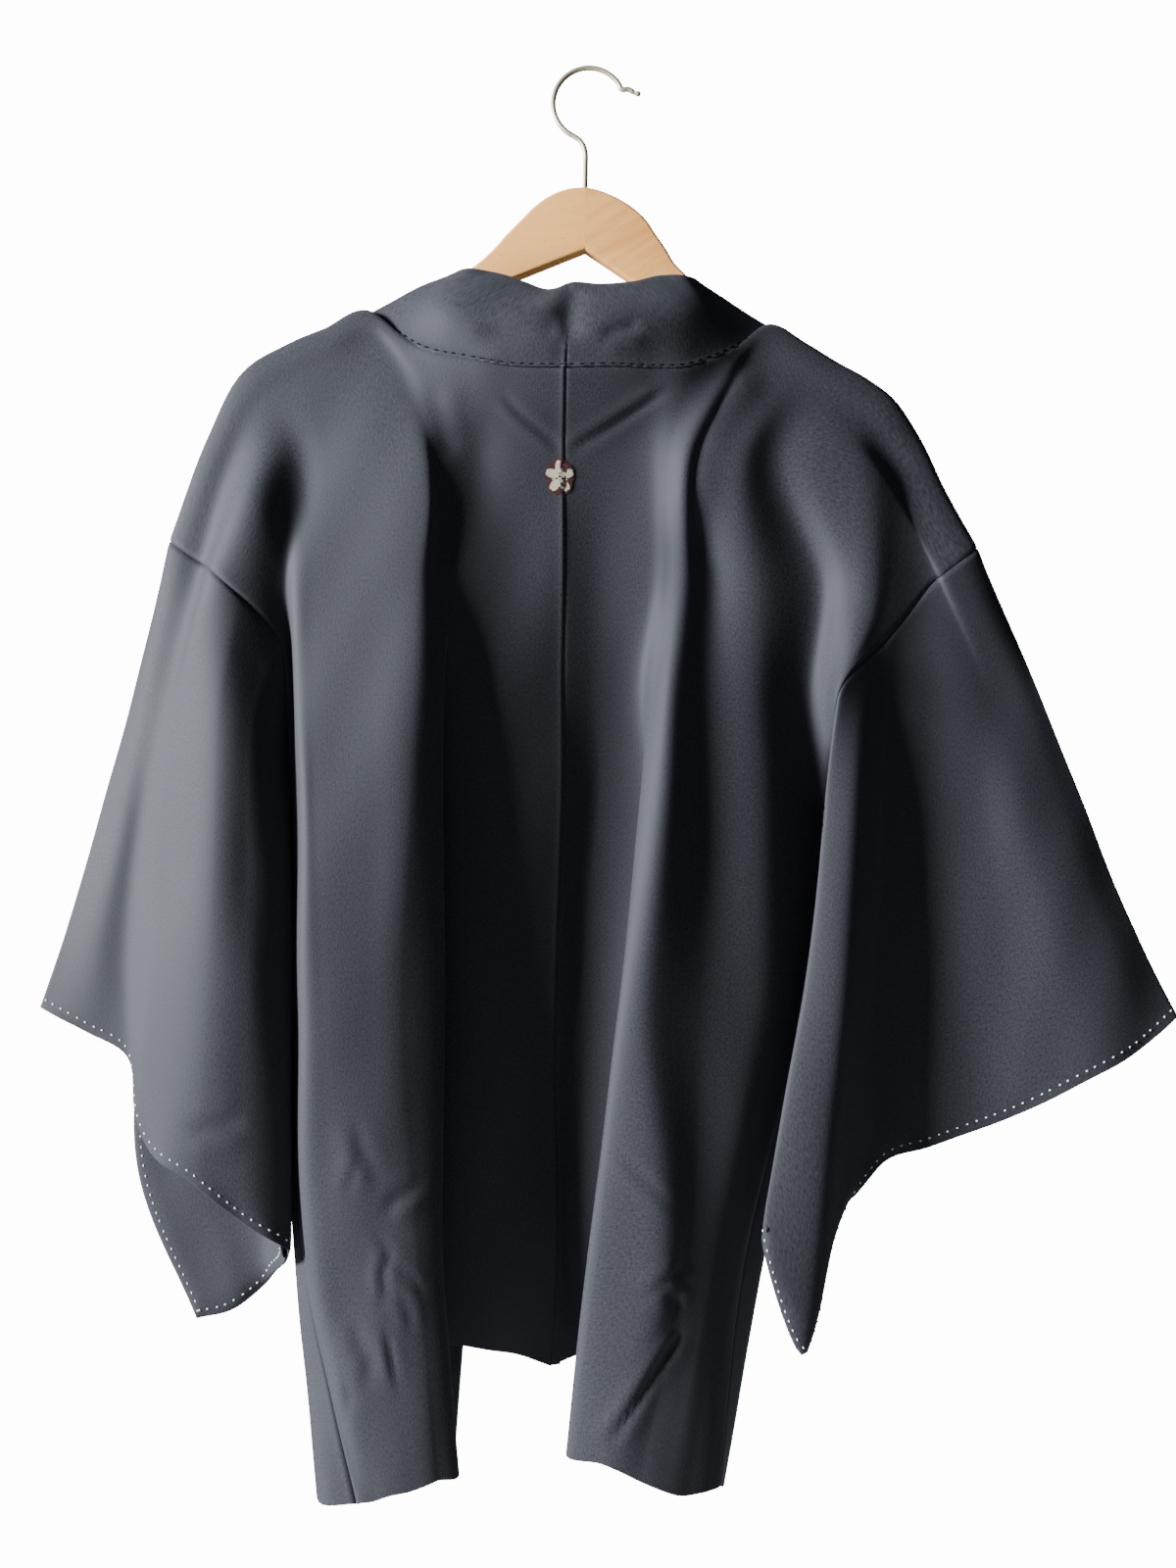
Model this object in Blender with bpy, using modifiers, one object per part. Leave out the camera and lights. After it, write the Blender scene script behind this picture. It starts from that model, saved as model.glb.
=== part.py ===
"""A haori jacket hung by its shoulders on a wooden hanger with a wire hook.

The origin is the inside of the hook's crest. +Z is up, the wearer faces +Y and +X is
the wearer's right. Tables are in millimetres: a row for each fold line, and a point
(x, y, z) for each height.
"""

import math

import bmesh
import bpy
import mathutils
import numpy as np

MM = 0.001
BACKWARD = mathutils.Vector((0.0, -1.0, 0.0))
WALL = 0.0018
CREST_WALL = 0.0008
CREST_WIDTH = 0.020
CREST_HEIGHT = 0.025
CREST_LIFT = 0.0023

# Two pieces stop this far apart at their seam, and the most that a piece draws back from it.
SEAM_GAP = 0.0004
MOST_INSET = 0.006
# More room where the sleeve, the body and the gusset meet under the arm.
UNDERARM_GAP = 0.0013
UNDERARM_EASE = 0.004

# The hanger: flat wooden halves and a wire hook, measured to the wire's centre.
ARM_THICKNESS = 0.0105
ARM_EDGE = 0.0035
ARM_BELOW_CLOTH = 0.0027
WIRE_RADIUS = 0.0017
HOOK_RADIUS = 0.0241

CLOTH_COLOUR = (0.012, 0.014, 0.018, 1.0)
WOOD_COLOUR = (0.72, 0.47, 0.27, 1.0)
STEEL_COLOUR = (0.62, 0.60, 0.57, 1.0)
CREST_COLOUR = (0.78, 0.72, 0.58, 1.0)

# Lengths along the cloth from the shoulder: top, three round the arm, then yoke, chest,
# pit, armhole, waist, low and hem.
LEVELS = (0.0, 8.0, 16.0, 34.0, 70.0, 160.0, 225.0, 280.0, 430.0, 590.0, 725.0)
ARM_CAP = ((6.8, 2.0), (9.6, 9.5), (11.5, 27.0))
ARMHOLE_LEVEL = 280.0
BODY_ROWS = (0.0, 5.0, 10.0, 17.0, 32.0, 55.0, 84.0, 118.0, 154.0, 190.0, 220.0, 250.0,
             280.0, 305.0, 350.0, 410.0, 480.0, 560.0, 645.0, 725.0)
NECK_LEFT = 4
NECK_RIGHT = 5

# Back fold lines from the centre to the side, at the top, yoke, chest, pit, armhole,
# waist, low and hem.
BACK_LEFT = (
    ("centre seam", (-15, -34, -209), (-16, -20, -255), (-16, -19, -351), (-17, -15, -419),
     (-17, -12, -474), (-22, -9, -631), (-21, -11, -800), (-25, -14, -866)),
    ("centre flat", (-46, -33, -208), (-49, -21, -255), (-50, -23, -352), (-51, -23, -419),
     (-52, -20, -474), (-54, -19, -629), (-56, -17, -788), (-57, -16, -856)),
    ("pleat root", (-78, -30, -202), (-77, -21, -255), (-84, -29, -353), (-96, -28, -420),
     (-108, -26, -474), (-124, -26, -628), (-134, -30, -780), (-136, -32, -851)),
    ("pleat edge", (-112, -20, -191), (-101, -25, -256), (-96, -34, -353), (-94, -38, -420),
     (-94, -38, -474), (-92, -42, -625), (-93, -50, -786), (-82, -62, -909)),
    ("pleat face", (-147, 0, -163), (-113, -27, -256), (-109, -42, -355), (-109, -47, -421),
     (-111, -49, -474), (-117, -53, -623), (-106, -59, -783), (-94, -71, -913)),
    ("brow", (-177, 0, -175), (-151, -22, -255), (-143, -38, -354), (-142, -45, -421),
     (-140, -49, -474), (-141, -57, -623), (-133, -62, -782), (-110, -74, -918)),
    ("outer turn", (-203, 0, -186), (-177, -18, -254), (-178, -34, -353), (-176, -41, -421),
     (-174, -47, -474), (-166, -58, -623), (-157, -60, -782), (-124, -74, -921)),
    ("valley", (-226, 0, -199), (-193, -15, -255), (-189, -33, -357), (-186, -39, -421),
     (-182, -46, -474), (-178, -57, -623), (-171, -58, -783), (-131, -73, -924)),
    ("inner side", (-255, 0, -248), (-221, -30, -291), (-197, -19, -377), (-193, -21, -419),
     (-192, -23, -474), (-189, -31, -627), (-181, -41, -789), (-140, -72, -926)),
    ("seam edge", (-281, 0, -318), (-246, -29, -341), (-203, -24, -387), (-199, -22, -419),
     (-197, -21, -474), (-202, -8, -631), (-184, -38, -790), (-144, -70, -928)),
)

BACK_RIGHT = (
    ("centre seam", (-15, -34, -209), (-16, -20, -255), (-16, -19, -351), (-17, -15, -419),
     (-17, -12, -474), (-22, -9, -631), (-21, -11, -800), (-25, -14, -866)),
    ("centre flat", (16, -33, -208), (12, -17, -254), (8, -14, -351), (7, -8, -418),
     (7, -3, -474), (-1, -2, -632), (-7, -8, -791), (-1, -13, -858)),
    ("pleat root", (42, -30, -208), (39, -17, -254), (39, -14, -351), (35, -10, -418),
     (42, -10, -474), (49, -22, -629), (47, -28, -781), (42, -32, -856)),
    ("pleat edge", (69, -26, -205), (54, -21, -255), (51, -19, -351), (42, -26, -420),
     (36, -34, -474), (20, -49, -624), (0, -58, -783), (-14, -64, -899)),
    ("pleat crest", (94, -17, -193), (66, -25, -256), (62, -24, -352), (52, -38, -420),
     (48, -46, -474), (35, -57, -623), (38, -66, -780), (8, -73, -901)),
    ("groove", (122, 0, -172), (78, -20, -255), (82, -17, -351), (78, -28, -420),
     (77, -34, -474), (75, -44, -625), (62, -60, -782), (33, -74, -912)),
    ("second ridge", (147, 0, -185), (105, -23, -255), (111, -21, -352), (112, -26, -420),
     (116, -30, -474), (111, -38, -626), (76, -56, -784), (46, -73, -918)),
    ("valley", (170, 0, -199), (129, -18, -257), (155, -12, -350), (147, -12, -419),
     (150, -12, -474), (132, -27, -628), (83, -53, -785), (56, -71, -922)),
    ("sleeve fold edge", (188, 0, -209), (150, -20, -258), (166, -22, -352), (156, -23, -424),
     (159, -13, -474), (137, -24, -628), (89, -50, -786), (62, -69, -923)),
    ("sleeve fold crest", (205, 0, -222), (172, -20, -261), (175, -27, -360), (158, -29, -424),
     (163, -12, -474), (142, -20, -629), (92, -48, -787), (68, -67, -923)),
    ("second valley", (222, 0, -247), (189, -20, -274), (183, -29, -370), (159, -35, -425),
     (168, -10, -474), (145, -16, -630), (96, -45, -788), (73, -65, -923)),
    ("inner side", (239, -4, -285), (210, -18, -306), (190, -27, -379), (160, -39, -426),
     (172, -8, -474), (145, -12, -630), (99, -41, -789), (78, -62, -923)),
    ("seam edge", (259, -9, -324), (230, -18, -346), (196, -25, -386), (161, -40, -425),
     (176, -10, -474), (145, -8, -631), (101, -36, -791), (83, -59, -923)),
)

# Front fold lines from the opening to the side, at the yoke and below.
FRONT_LEFT = (
    ("front edge", (-141, 12, -250), (-134, 16, -345), (-129, 17, -410),
     (-126, 17, -470), (-122, 18, -620), (-122, 19, -780), (-122, 19, -925)),
    ("first fold", (-166, 9, -252), (-155, 6, -348), (-148, 1, -412),
     (-143, -4, -470), (-138, -10, -620), (-136, -12, -780), (-134, -14, -926)),
    ("second fold", (-192, 14, -256), (-178, 19, -350), (-168, 20, -414),
     (-161, 21, -472), (-152, 21, -620), (-149, 21, -780), (-147, 20, -927)),
    ("third fold", (-215, 9, -262), (-196, 4, -356), (-186, -2, -416),
     (-177, -6, -473), (-166, -14, -620), (-160, -22, -780), (-156, -30, -927)),
    ("inner side", (-238, 16, -300), (-208, 6, -380), (-197, 7, -420),
     (-189, 10, -474), (-178, 18, -620), (-178, 16, -780), (-170, 8, -926)),
    ("seam edge", (-247, 17, -340), (-211, 8, -388), (-204, 4, -422),
     (-202, 2, -475), (-190, 12, -620), (-188, 10, -783), (-175, -20, -926)),
)

FRONT_RIGHT = (
    ("front edge", (120, 13, -262), (108, 16, -352), (98, 17, -412),
     (90, 17, -470), (68, 18, -620), (44, 19, -780), (24, 19, -912)),
    ("first fold", (143, 9, -266), (127, 6, -354), (115, 1, -414),
     (105, -4, -472), (82, -10, -620), (57, -12, -780), (37, -14, -913)),
    ("second fold", (168, 14, -272), (148, 19, -358), (135, 20, -416),
     (123, 21, -474), (98, 21, -620), (72, 21, -780), (50, 20, -914)),
    ("third fold", (190, 9, -280), (165, 4, -364), (150, -2, -420),
     (139, -2, -474), (114, -14, -620), (84, -24, -780), (60, -32, -915)),
    ("inner side", (214, 15, -312), (184, 8, -392), (168, 9, -430),
     (161, 13, -474), (134, 17, -620), (104, 15, -780), (80, 10, -914)),
    ("seam edge", (226, 15, -352), (197, 6, -405), (189, 6, -440),
     (185, 6, -475), (149, 10, -620), (116, 8, -783), (90, -6, -916)),
)

# How far the middle of each gusset stands off the straight line between its edges, at the
# armhole, waist, low and hem.
GUSSET_LEFT = ((0, 4, 0), (-10, 6, -8), (-7, -6, -10), (-10, -15, -5))
GUSSET_RIGHT = ((4, -1, 0), (6, 1, -8), (8, 2, -13), (2, -4, -12))

# Sleeve fold lines from the top fold to the inner edge, at four heights down to the rim.
SLEEVE_LEFT = (
    ("top fold", (-303, -5, -417), (-326, -10, -506), (-346, -14, -579), (-361, -18, -628)),
    ("flat strip", (-292, -15, -419), (-308, -20, -510), (-322, -23, -585), (-328, -26, -643)),
    ("step foot", (-278, -22, -429), (-295, -23, -519), (-301, -26, -596), (-299, -30, -659)),
    ("step crest", (-267, -30, -433), (-277, -34, -525), (-280, -41, -606), (-288, -42, -704)),
    ("crest", (-237, -45, -437), (-238, -52, -530), (-242, -58, -623), (-248, -59, -733)),
    ("lee side", (-217, -41, -440), (-216, -50, -537), (-216, -57, -632), (-219, -56, -757)),
    ("lee edge", (-202, -35, -474), (-197, -43, -568), (-195, -49, -668), (-194, -50, -775)),
    ("inner fold", (-194, -30, -516), (-192, -37, -601), (-191, -41, -688), (-190, -43, -783)),
    ("behind", (-215, -2, -533), (-216, -1, -619), (-215, 0, -712), (-211, 0, -811)),
    ("far layer", (-241, 4, -543), (-254, 7, -627), (-264, 8, -727), (-237, 5, -833)),
    ("bottom edge", (-280, 8, -567), (-302, 9, -650), (-303, 9, -750), (-264, 6, -841)),
)

SLEEVE_RIGHT = (
    ("top fold", (291, -11, -400), (324, -14, -484), (356, -18, -568), (388, -19, -634)),
    ("outer strip", (284, -15, -412), (309, -21, -497), (337, -26, -582), (360, -27, -655)),
    ("ridge", (268, -17, -419), (287, -25, -506), (309, -29, -590), (330, -30, -671)),
    ("lit face", (245, -20, -424), (260, -22, -513), (269, -23, -603), (283, -23, -697)),
    ("valley", (219, -22, -432), (221, -20, -522), (221, -19, -616), (225, -18, -720)),
    ("valley wall", (199, -25, -445), (198, -23, -535), (196, -21, -629), (193, -20, -731)),
    ("right edge", (188, -32, -458), (183, -35, -547), (174, -38, -642), (164, -38, -765)),
    ("fold crest", (171, -42, -474), (165, -46, -562), (156, -50, -658), (137, -58, -842)),
    ("left edge", (154, -40, -480), (145, -42, -569), (130, -46, -659), (110, -54, -767)),
    ("behind", (175, -33, -506), (171, -32, -589), (160, -34, -671), (136, -42, -771)),
    ("bottom edge", (193, -16, -532), (188, -16, -604), (176, -18, -681), (155, -28, -762)),
)

# Where each sleeve fold line starts: a share of the armhole, or a point of the inner edge.
SLEEVE_LEFT_TOP = (0.0, 0.1, 0.2, 0.28, 0.4, 0.6, 0.85, 1.0,
                   (-204, -10, -488), (-223, -2, -498), (-251, 6, -514))
SLEEVE_RIGHT_TOP = (0.0, 0.1, 0.18, 0.25, 0.32, 0.39, 0.48, 0.58, 0.7, 1.0, (194, -15, -492))
SLEEVE_LEVELS = (0.0, 95.0, 210.0, 330.0, 430.0)
SLEEVE_ROWS = (0.0, 18.0, 50.0, 95.0, 145.0, 195.0, 245.0, 300.0, 350.0, 392.0, 430.0)
CUFF_OPENING = 230.0
SLEEVE_FADE = 150.0
GUSSET_DROP = 0.65

# Lengths along the collar: each front, and each half of the neckline.
FRONT_RUN = 0.79
NECK_RUN = 0.14

# Collar stations: sewn edge position, then the middle and the free edge.
COLLAR = (
    ("left hem", "front left", 1.0, (-105, 17, -925), (-89, -8, -924)),
    ("left waist", "front left", 0.62, (-98, 19, -620), (-70, 11, -620)),
    ("left chest", "front left", 0.24, (-108, 19, -342), (-76, 15, -338)),
    ("left yoke", "front left", 0.10, (-117, 16, -235), (-84, 16, -222)),
    ("left cap", "front left", 0.035, (-119, 11, -166), (-88, 12, -148)),
    ("left edge", "front left", 0.0095, (-117, 7, -152), (-89, 8, -141)),
    ("left shoulder", "neck left", 1.0, (-116, 0, -148), (-89, 0, -139)),
    ("left rise", "neck left", 0.86, (-107, -13, -158), (-82, -13, -139)),
    ("left quarter", "neck left", 0.70, (-93, -24, -166), (-64, -15, -142)),
    ("left back", "neck left", 0.42, (-62, -31, -177), (-43, -17, -149)),
    ("centre left", "neck left", 0.2, (-36, -34, -180), (-26, -18, -155)),
    ("centre", "neck left", 0.0, (-13, -33, -182), (-10, -18, -150)),
    ("centre right", "neck right", 0.2, (15, -34, -180), (8, -18, -151)),
    ("right back", "neck right", 0.42, (42, -31, -178), (30, -17, -149)),
    ("right quarter", "neck right", 0.68, (69, -23, -170), (49, -14, -144)),
    ("right rise", "neck right", 0.86, (84, -13, -165), (66, -13, -144)),
    ("right shoulder", "neck right", 1.0, (94, 0, -156), (74, 0, -144)),
    ("right edge", "front right", 0.0095, (95, 7, -160), (74, 8, -147)),
    ("right cap", "front right", 0.035, (97, 11, -173), (73, 12, -157)),
    ("right yoke", "front right", 0.10, (94, 16, -245), (62, 16, -228)),
    ("right chest", "front right", 0.24, (78, 19, -346), (46, 15, -340)),
    ("right waist", "front right", 0.62, (44, 19, -618), (16, 11, -617)),
    ("right hem", "front right", 1.0, (7, 17, -912), (-10, -8, -911)),
)

# Hanger outlines beyond the shoulders: crown from the centre out, then the underside.
CROWN_LEFT = ((-2, -80), (-13, -81), (-26, -86), (-36, -93), (-45, -102), (-54, -111),
              (-62, -120), (-69, -127), (-79, -135), (-98, -149), (-122, -165), (-148, -175))
CROWN_RIGHT = ((-2, -80), (7, -82), (17, -86), (29, -93), (39, -102), (45, -111),
               (52, -121), (58, -131), (68, -141), (84, -158), (104, -178), (124, -189))
TIP_LEFT = ((-223, -202), (-226, -209), (-222, -214), (-214, -213))
TIP_RIGHT = ((208, -229), (211, -237), (206, -242), (198, -240))
UNDERSIDE_LEFT = ((-120, -172), (-48, -141), (-2, -122.5))
UNDERSIDE_RIGHT = ((110, -190), (27, -142), (-2, -122.5))


def clear_scene():
    for obj in list(bpy.data.objects):
        bpy.data.objects.remove(obj, do_unlink=True)


def make_material(name, colour, roughness, metallic=0.0):
    material = bpy.data.materials.new(name)
    material.use_nodes = True
    shader = material.node_tree.nodes["Principled BSDF"]
    shader.inputs["Base Color"].default_value = colour
    shader.inputs["Roughness"].default_value = roughness
    shader.inputs["Metallic"].default_value = metallic
    material.diffuse_color = colour
    return material


def spline_weights(knots, samples):
    """A row of weights for each sample: a smooth curve through the knots."""
    knots = np.asarray(knots, float)
    count = len(knots)
    slopes = np.zeros((count, count))
    steps = np.diff(knots)
    spans = np.zeros((count - 1, count))
    for index in range(count - 1):
        spans[index, index] = -1.0 / steps[index]
        spans[index, index + 1] = 1.0 / steps[index]
    slopes[0] = spans[0]
    slopes[-1] = spans[-1]
    for index in range(1, count - 1):
        before = steps[index - 1]
        after = steps[index]
        slopes[index] = (after * spans[index - 1] + before * spans[index]) / (before + after)
    weights = np.zeros((len(samples), count))
    for row, sample in enumerate(samples):
        index = int(np.clip(np.searchsorted(knots, sample, side="right") - 1, 0, count - 2))
        step = steps[index]
        t = (sample - knots[index]) / step
        weights[row, index] += 2 * t**3 - 3 * t**2 + 1
        weights[row, index + 1] += 3 * t**2 - 2 * t**3
        weights[row] += (t**3 - 2 * t**2 + t) * step * slopes[index]
        weights[row] += (t**3 - t**2) * step * slopes[index + 1]
    return weights


def surface(net, across_knots, down_knots, across, down):
    first = spline_weights(across_knots, across)
    second = spline_weights(down_knots, down)
    return np.einsum("ik,jl,klc->ijc", first, second, net)


def mean_knots(net):
    """Positions of the fold lines: their mean distances, added up."""
    lengths = np.linalg.norm(np.diff(net, axis=0), axis=2).mean(axis=1)
    return np.concatenate([[0.0], np.cumsum(lengths)])


def spread(knots, counts):
    values = []
    for index, count in enumerate(counts):
        values += list(np.linspace(knots[index], knots[index + 1], count, endpoint=False))
    return np.array(values + [knots[-1]])


def unit(vectors):
    lengths = np.linalg.norm(vectors, axis=-1, keepdims=True)
    return vectors / np.maximum(lengths, 1e-9)


def cap_points(top, below, side):
    """Points round the hanger arm from the shoulder line; side is -1 back, 1 front."""
    fall = unit((below - top) * (1.0, 0.0, 1.0))
    return [top + fall * drop + np.array([0.0, side * depth, 0.0]) for depth, drop in ARM_CAP]


def body_nets(back_table, front_table, neck):
    """The back and the front net of one body length, which share the shoulder line."""
    back = []
    for index, row in enumerate(back_table):
        points = np.array(row[1:], float)
        if index >= neck:
            caps = cap_points(points[0], points[1], -1)
        else:
            caps = [points[0] + (points[1] - points[0]) * level / LEVELS[4] for level in LEVELS[1:4]]
        back.append([points[0]] + caps + list(points[1:]))
    back = np.array(back)
    front = []
    shoulder = choose_shoulder(back, neck, len(front_table))
    for top, row in zip(shoulder, front_table):
        points = np.array(row[1:], float)
        front.append([top] + cap_points(top, points[0], 1) + list(points))
    return back, np.array(front)


def choose_shoulder(back, neck, count):
    """Points of the shoulder line at even steps for the front's fold lines."""
    knots = mean_knots(back)
    places = np.linspace(knots[neck], knots[-1], count)
    return spline_weights(knots, places) @ back[:, 0]


def body_piece(back_table, front_table, neck, counts):
    back_net, front_net = body_nets(back_table, front_table, neck)
    knots = mean_knots(back_net)
    across = spread(knots, counts)
    back = surface(back_net, knots, LEVELS, across, BODY_ROWS)
    first = sum(counts[:neck])
    count = len(front_net)
    front_knots = np.linspace(knots[neck], knots[-1], count)
    front = surface(front_net, front_knots, LEVELS, across[first:], BODY_ROWS)
    front[:, 0] = back[first:, 0]
    return back * MM, front * MM, first


def across_seam(edge, inside):
    """Directions square to a seam line, into the piece whose next points are given."""
    line = unit(np.gradient(edge, axis=0))
    towards = inside - edge
    towards = towards - (towards * line).sum(axis=1, keepdims=True) * line
    return unit(towards)


def part_seam(edge, first, second):
    """Shifts for two pieces sewn along an edge: more where their walls meet at an angle."""
    one = across_seam(edge, first)
    two = across_seam(edge, second)
    angle = np.arccos(np.clip((one * two).sum(axis=1), -1.0, 1.0))
    inset = WALL / 2 / np.tan(np.maximum(angle, 0.3) / 2) + SEAM_GAP / 2
    inset = np.minimum(inset, MOST_INSET)[:, None]
    return one * inset, two * inset


def add_grid(mesh, points):
    return [[mesh.verts.new(point) for point in column] for column in points]


def fill_grid(mesh, verts, flip=False):
    for left, right in zip(verts, verts[1:]):
        for index in range(len(left) - 1):
            corners = [left[index], right[index], right[index + 1], left[index + 1]]
            if len(set(corners)) < 4:
                continue
            mesh.faces.new(corners[::-1] if flip else corners)


def finish_cloth(mesh, name, material, outward):
    """Makes the object, with its faces turned to the outward point, and its wall."""
    bmesh.ops.recalc_face_normals(mesh, faces=mesh.faces)
    data = bpy.data.meshes.new(name)
    mesh.faces.ensure_lookup_table()
    face = max(mesh.faces, key=lambda item: item.calc_center_median().dot(outward))
    if face.normal.dot(outward) < 0:
        bmesh.ops.reverse_faces(mesh, faces=mesh.faces)
    mesh.to_mesh(data)
    mesh.free()
    data.shade_smooth()
    obj = bpy.data.objects.new(name, data)
    parts.objects.link(obj)
    data.materials.append(material)
    wall = obj.modifiers.new("wall", "SOLIDIFY")
    wall.thickness = WALL
    wall.offset = 0.0
    return obj


def make_body(name, back, front, first, material):
    """One length of cloth: the back, and the front joined to it at the shoulder."""
    mesh = bmesh.new()
    back_verts = add_grid(mesh, back)
    front_verts = []
    for index, column in enumerate(front):
        shared = back_verts[first + index][0]
        front_verts.append([shared] + [mesh.verts.new(point) for point in column[1:]])
    fill_grid(mesh, back_verts)
    fill_grid(mesh, front_verts, flip=True)
    return finish_cloth(mesh, name, material, BACKWARD)


def make_strip(name, grid, material, outward):
    mesh = bmesh.new()
    fill_grid(mesh, add_grid(mesh, grid))
    return finish_cloth(mesh, name, material, outward)


def sleeve_grid(table, tops, seam_back, seam_front, counts):
    """Back and front layers of a sleeve, as grids from the top fold to the inner edge."""
    lengths = np.concatenate([[0.0], np.cumsum(np.linalg.norm(np.diff(seam_back, axis=0), axis=1))])
    shares = lengths / lengths[-1]

    def on_seam(curve, share):
        return np.array([np.interp(share, shares, curve[:, axis]) for axis in range(3)])

    net = []
    for row, top in zip(table, tops):
        start = np.array(top, float) if isinstance(top, tuple) else on_seam(seam_back, top) / MM
        net.append([start] + [np.array(point, float) for point in row[1:]])
    net = np.array(net)
    knots = mean_knots(net)
    on_armhole = [top for top in tops if not isinstance(top, tuple)]
    armhole_knots = knots[: len(on_armhole)]
    inner_start = armhole_knots[-1]
    across = list(np.interp(shares, on_armhole, armhole_knots))
    for index in range(len(on_armhole) - 1, len(knots) - 1):
        steps = counts[index]
        across += list(np.linspace(knots[index], knots[index + 1], steps + 1)[1:])
    across = np.array(across)
    back = surface(net, knots, SLEEVE_LEVELS, across, SLEEVE_ROWS) * MM
    seam_count = len(seam_back)
    fade = np.clip(1.0 - np.array(SLEEVE_ROWS) / 120.0, 0.0, 1.0) ** 2
    error = np.zeros((len(across), 3))
    error[:seam_count] = seam_back - back[:seam_count, 0]
    back += error[:, None, :] * fade[None, :, None]
    front = front_layer(back, seam_back, seam_front)
    return back, front


def layer_normals(grid):
    along = np.gradient(grid, axis=0)
    down = np.gradient(grid, axis=1)
    return unit(np.cross(along, down))


def front_layer(back, seam_back, seam_front):
    """The front layer lies inside the back layer's folds, a small hollow away."""
    normals = layer_normals(back)
    if normals[2, 4, 1] < 0:
        normals = -normals
    columns = len(back)
    rows = len(SLEEVE_ROWS)
    around = np.linspace(0.0, 1.0, columns)[:, None]
    down = np.linspace(0.0, 1.0, rows)[None, :]
    hollow = 0.0065 + 0.006 * np.sin(math.pi * np.clip(around * 1.5, 0, 1)) * (0.4 + 0.6 * down)
    hollow[0] = 0.0
    offset = normals * hollow[:, :, None]
    start = np.zeros((columns, 3))
    start[: len(seam_back)] = seam_front - seam_back
    start[len(seam_back):] = start[len(seam_back) - 1]
    fade = np.clip(1.0 - np.array(SLEEVE_ROWS) / SLEEVE_FADE, 0.0, 1.0)
    fade = fade * fade * (3 - 2 * fade)
    return back + offset * (1 - fade)[None, :, None] + start[:, None, :] * fade[None, :, None]


def make_sleeve(name, back, front, seam_count, material):
    """One tube: the front layer, over the top fold, the back layer; sewn below the cuff."""
    rim = back[:, -1]
    lengths = np.concatenate([[0.0], np.cumsum(np.linalg.norm(np.diff(rim, axis=0), axis=1))]) / MM
    sewn = int(np.searchsorted(lengths, CUFF_OPENING))
    mesh = bmesh.new()
    back_verts = add_grid(mesh, back)
    front_verts = [back_verts[0]] + add_grid(mesh, front[1:])
    fill_grid(mesh, back_verts)
    fill_grid(mesh, front_verts, flip=True)
    for index in range(sewn, len(back_verts) - 1):
        corners = (back_verts[index][-1], back_verts[index + 1][-1],
                   front_verts[index + 1][-1], front_verts[index][-1])
        mesh.faces.new(corners)
    for row in range(len(SLEEVE_ROWS) - 1):
        corners = (back_verts[-1][row], front_verts[-1][row],
                   front_verts[-1][row + 1], back_verts[-1][row + 1])
        mesh.faces.new(corners)
    return finish_cloth(mesh, name, material, BACKWARD)


def collar_run(edge, share):
    """Distance along the collar from the left end of the neckline."""
    if edge == "front left":
        return -share * FRONT_RUN
    if edge == "neck left":
        return (1 - share) * NECK_RUN
    if edge == "neck right":
        return (1 + share) * NECK_RUN
    return 2 * NECK_RUN + share * FRONT_RUN


def collar_grid(bodies):
    """The sewn edge follows the fronts and the neckline; the free edge follows the table."""
    left_back, left_front, left_neck = bodies["left"][:3]
    right_back, right_front, right_neck = bodies["right"][:3]
    rows = np.array(BODY_ROWS) / BODY_ROWS[-1]
    sewn = []
    places = []
    for index in range(len(rows) - 1, 0, -1):
        sewn.append(left_front[0, index])
        places.append(collar_run("front left", rows[index]))
    for index in range(left_neck, -1, -1):
        sewn.append(left_back[index, 0])
        places.append(collar_run("neck left", index / left_neck))
    for index in range(1, right_neck + 1):
        sewn.append(right_back[index, 0])
        places.append(collar_run("neck right", index / right_neck))
    for index in range(1, len(rows)):
        sewn.append(right_front[0, index])
        places.append(collar_run("front right", rows[index]))
    weights = spline_weights([collar_run(row[1], row[2]) for row in COLLAR], places)
    middle = weights @ np.array([row[3] for row in COLLAR], float) * MM
    free = weights @ np.array([row[4] for row in COLLAR], float) * MM
    net = np.stack([np.array(sewn), middle, free], axis=1)
    across = spline_weights((0.0, 0.5, 1.0), (0.0, 0.34, 0.67, 1.0))
    return np.einsum("ab,nbc->nac", across, net)


def gusset_grid(back, front, middle):
    """A strip from the back's side edge to the front's, below the armhole."""
    start = BODY_ROWS.index(ARMHOLE_LEVEL)
    top = LEVELS.index(ARMHOLE_LEVEL)
    first = back[-1, start:]
    last = front[-1, start:]
    shift = spline_weights(LEVELS[top:], BODY_ROWS[start:]) @ np.array(middle, float) * MM
    net = np.stack([first, (first + last) / 2 + shift, last], axis=0)
    across = spline_weights((0.0, 0.5, 1.0), (0.0, 0.25, 0.5, 0.75, 1.0))
    return np.einsum("ab,bnc->anc", across, net)


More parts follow.
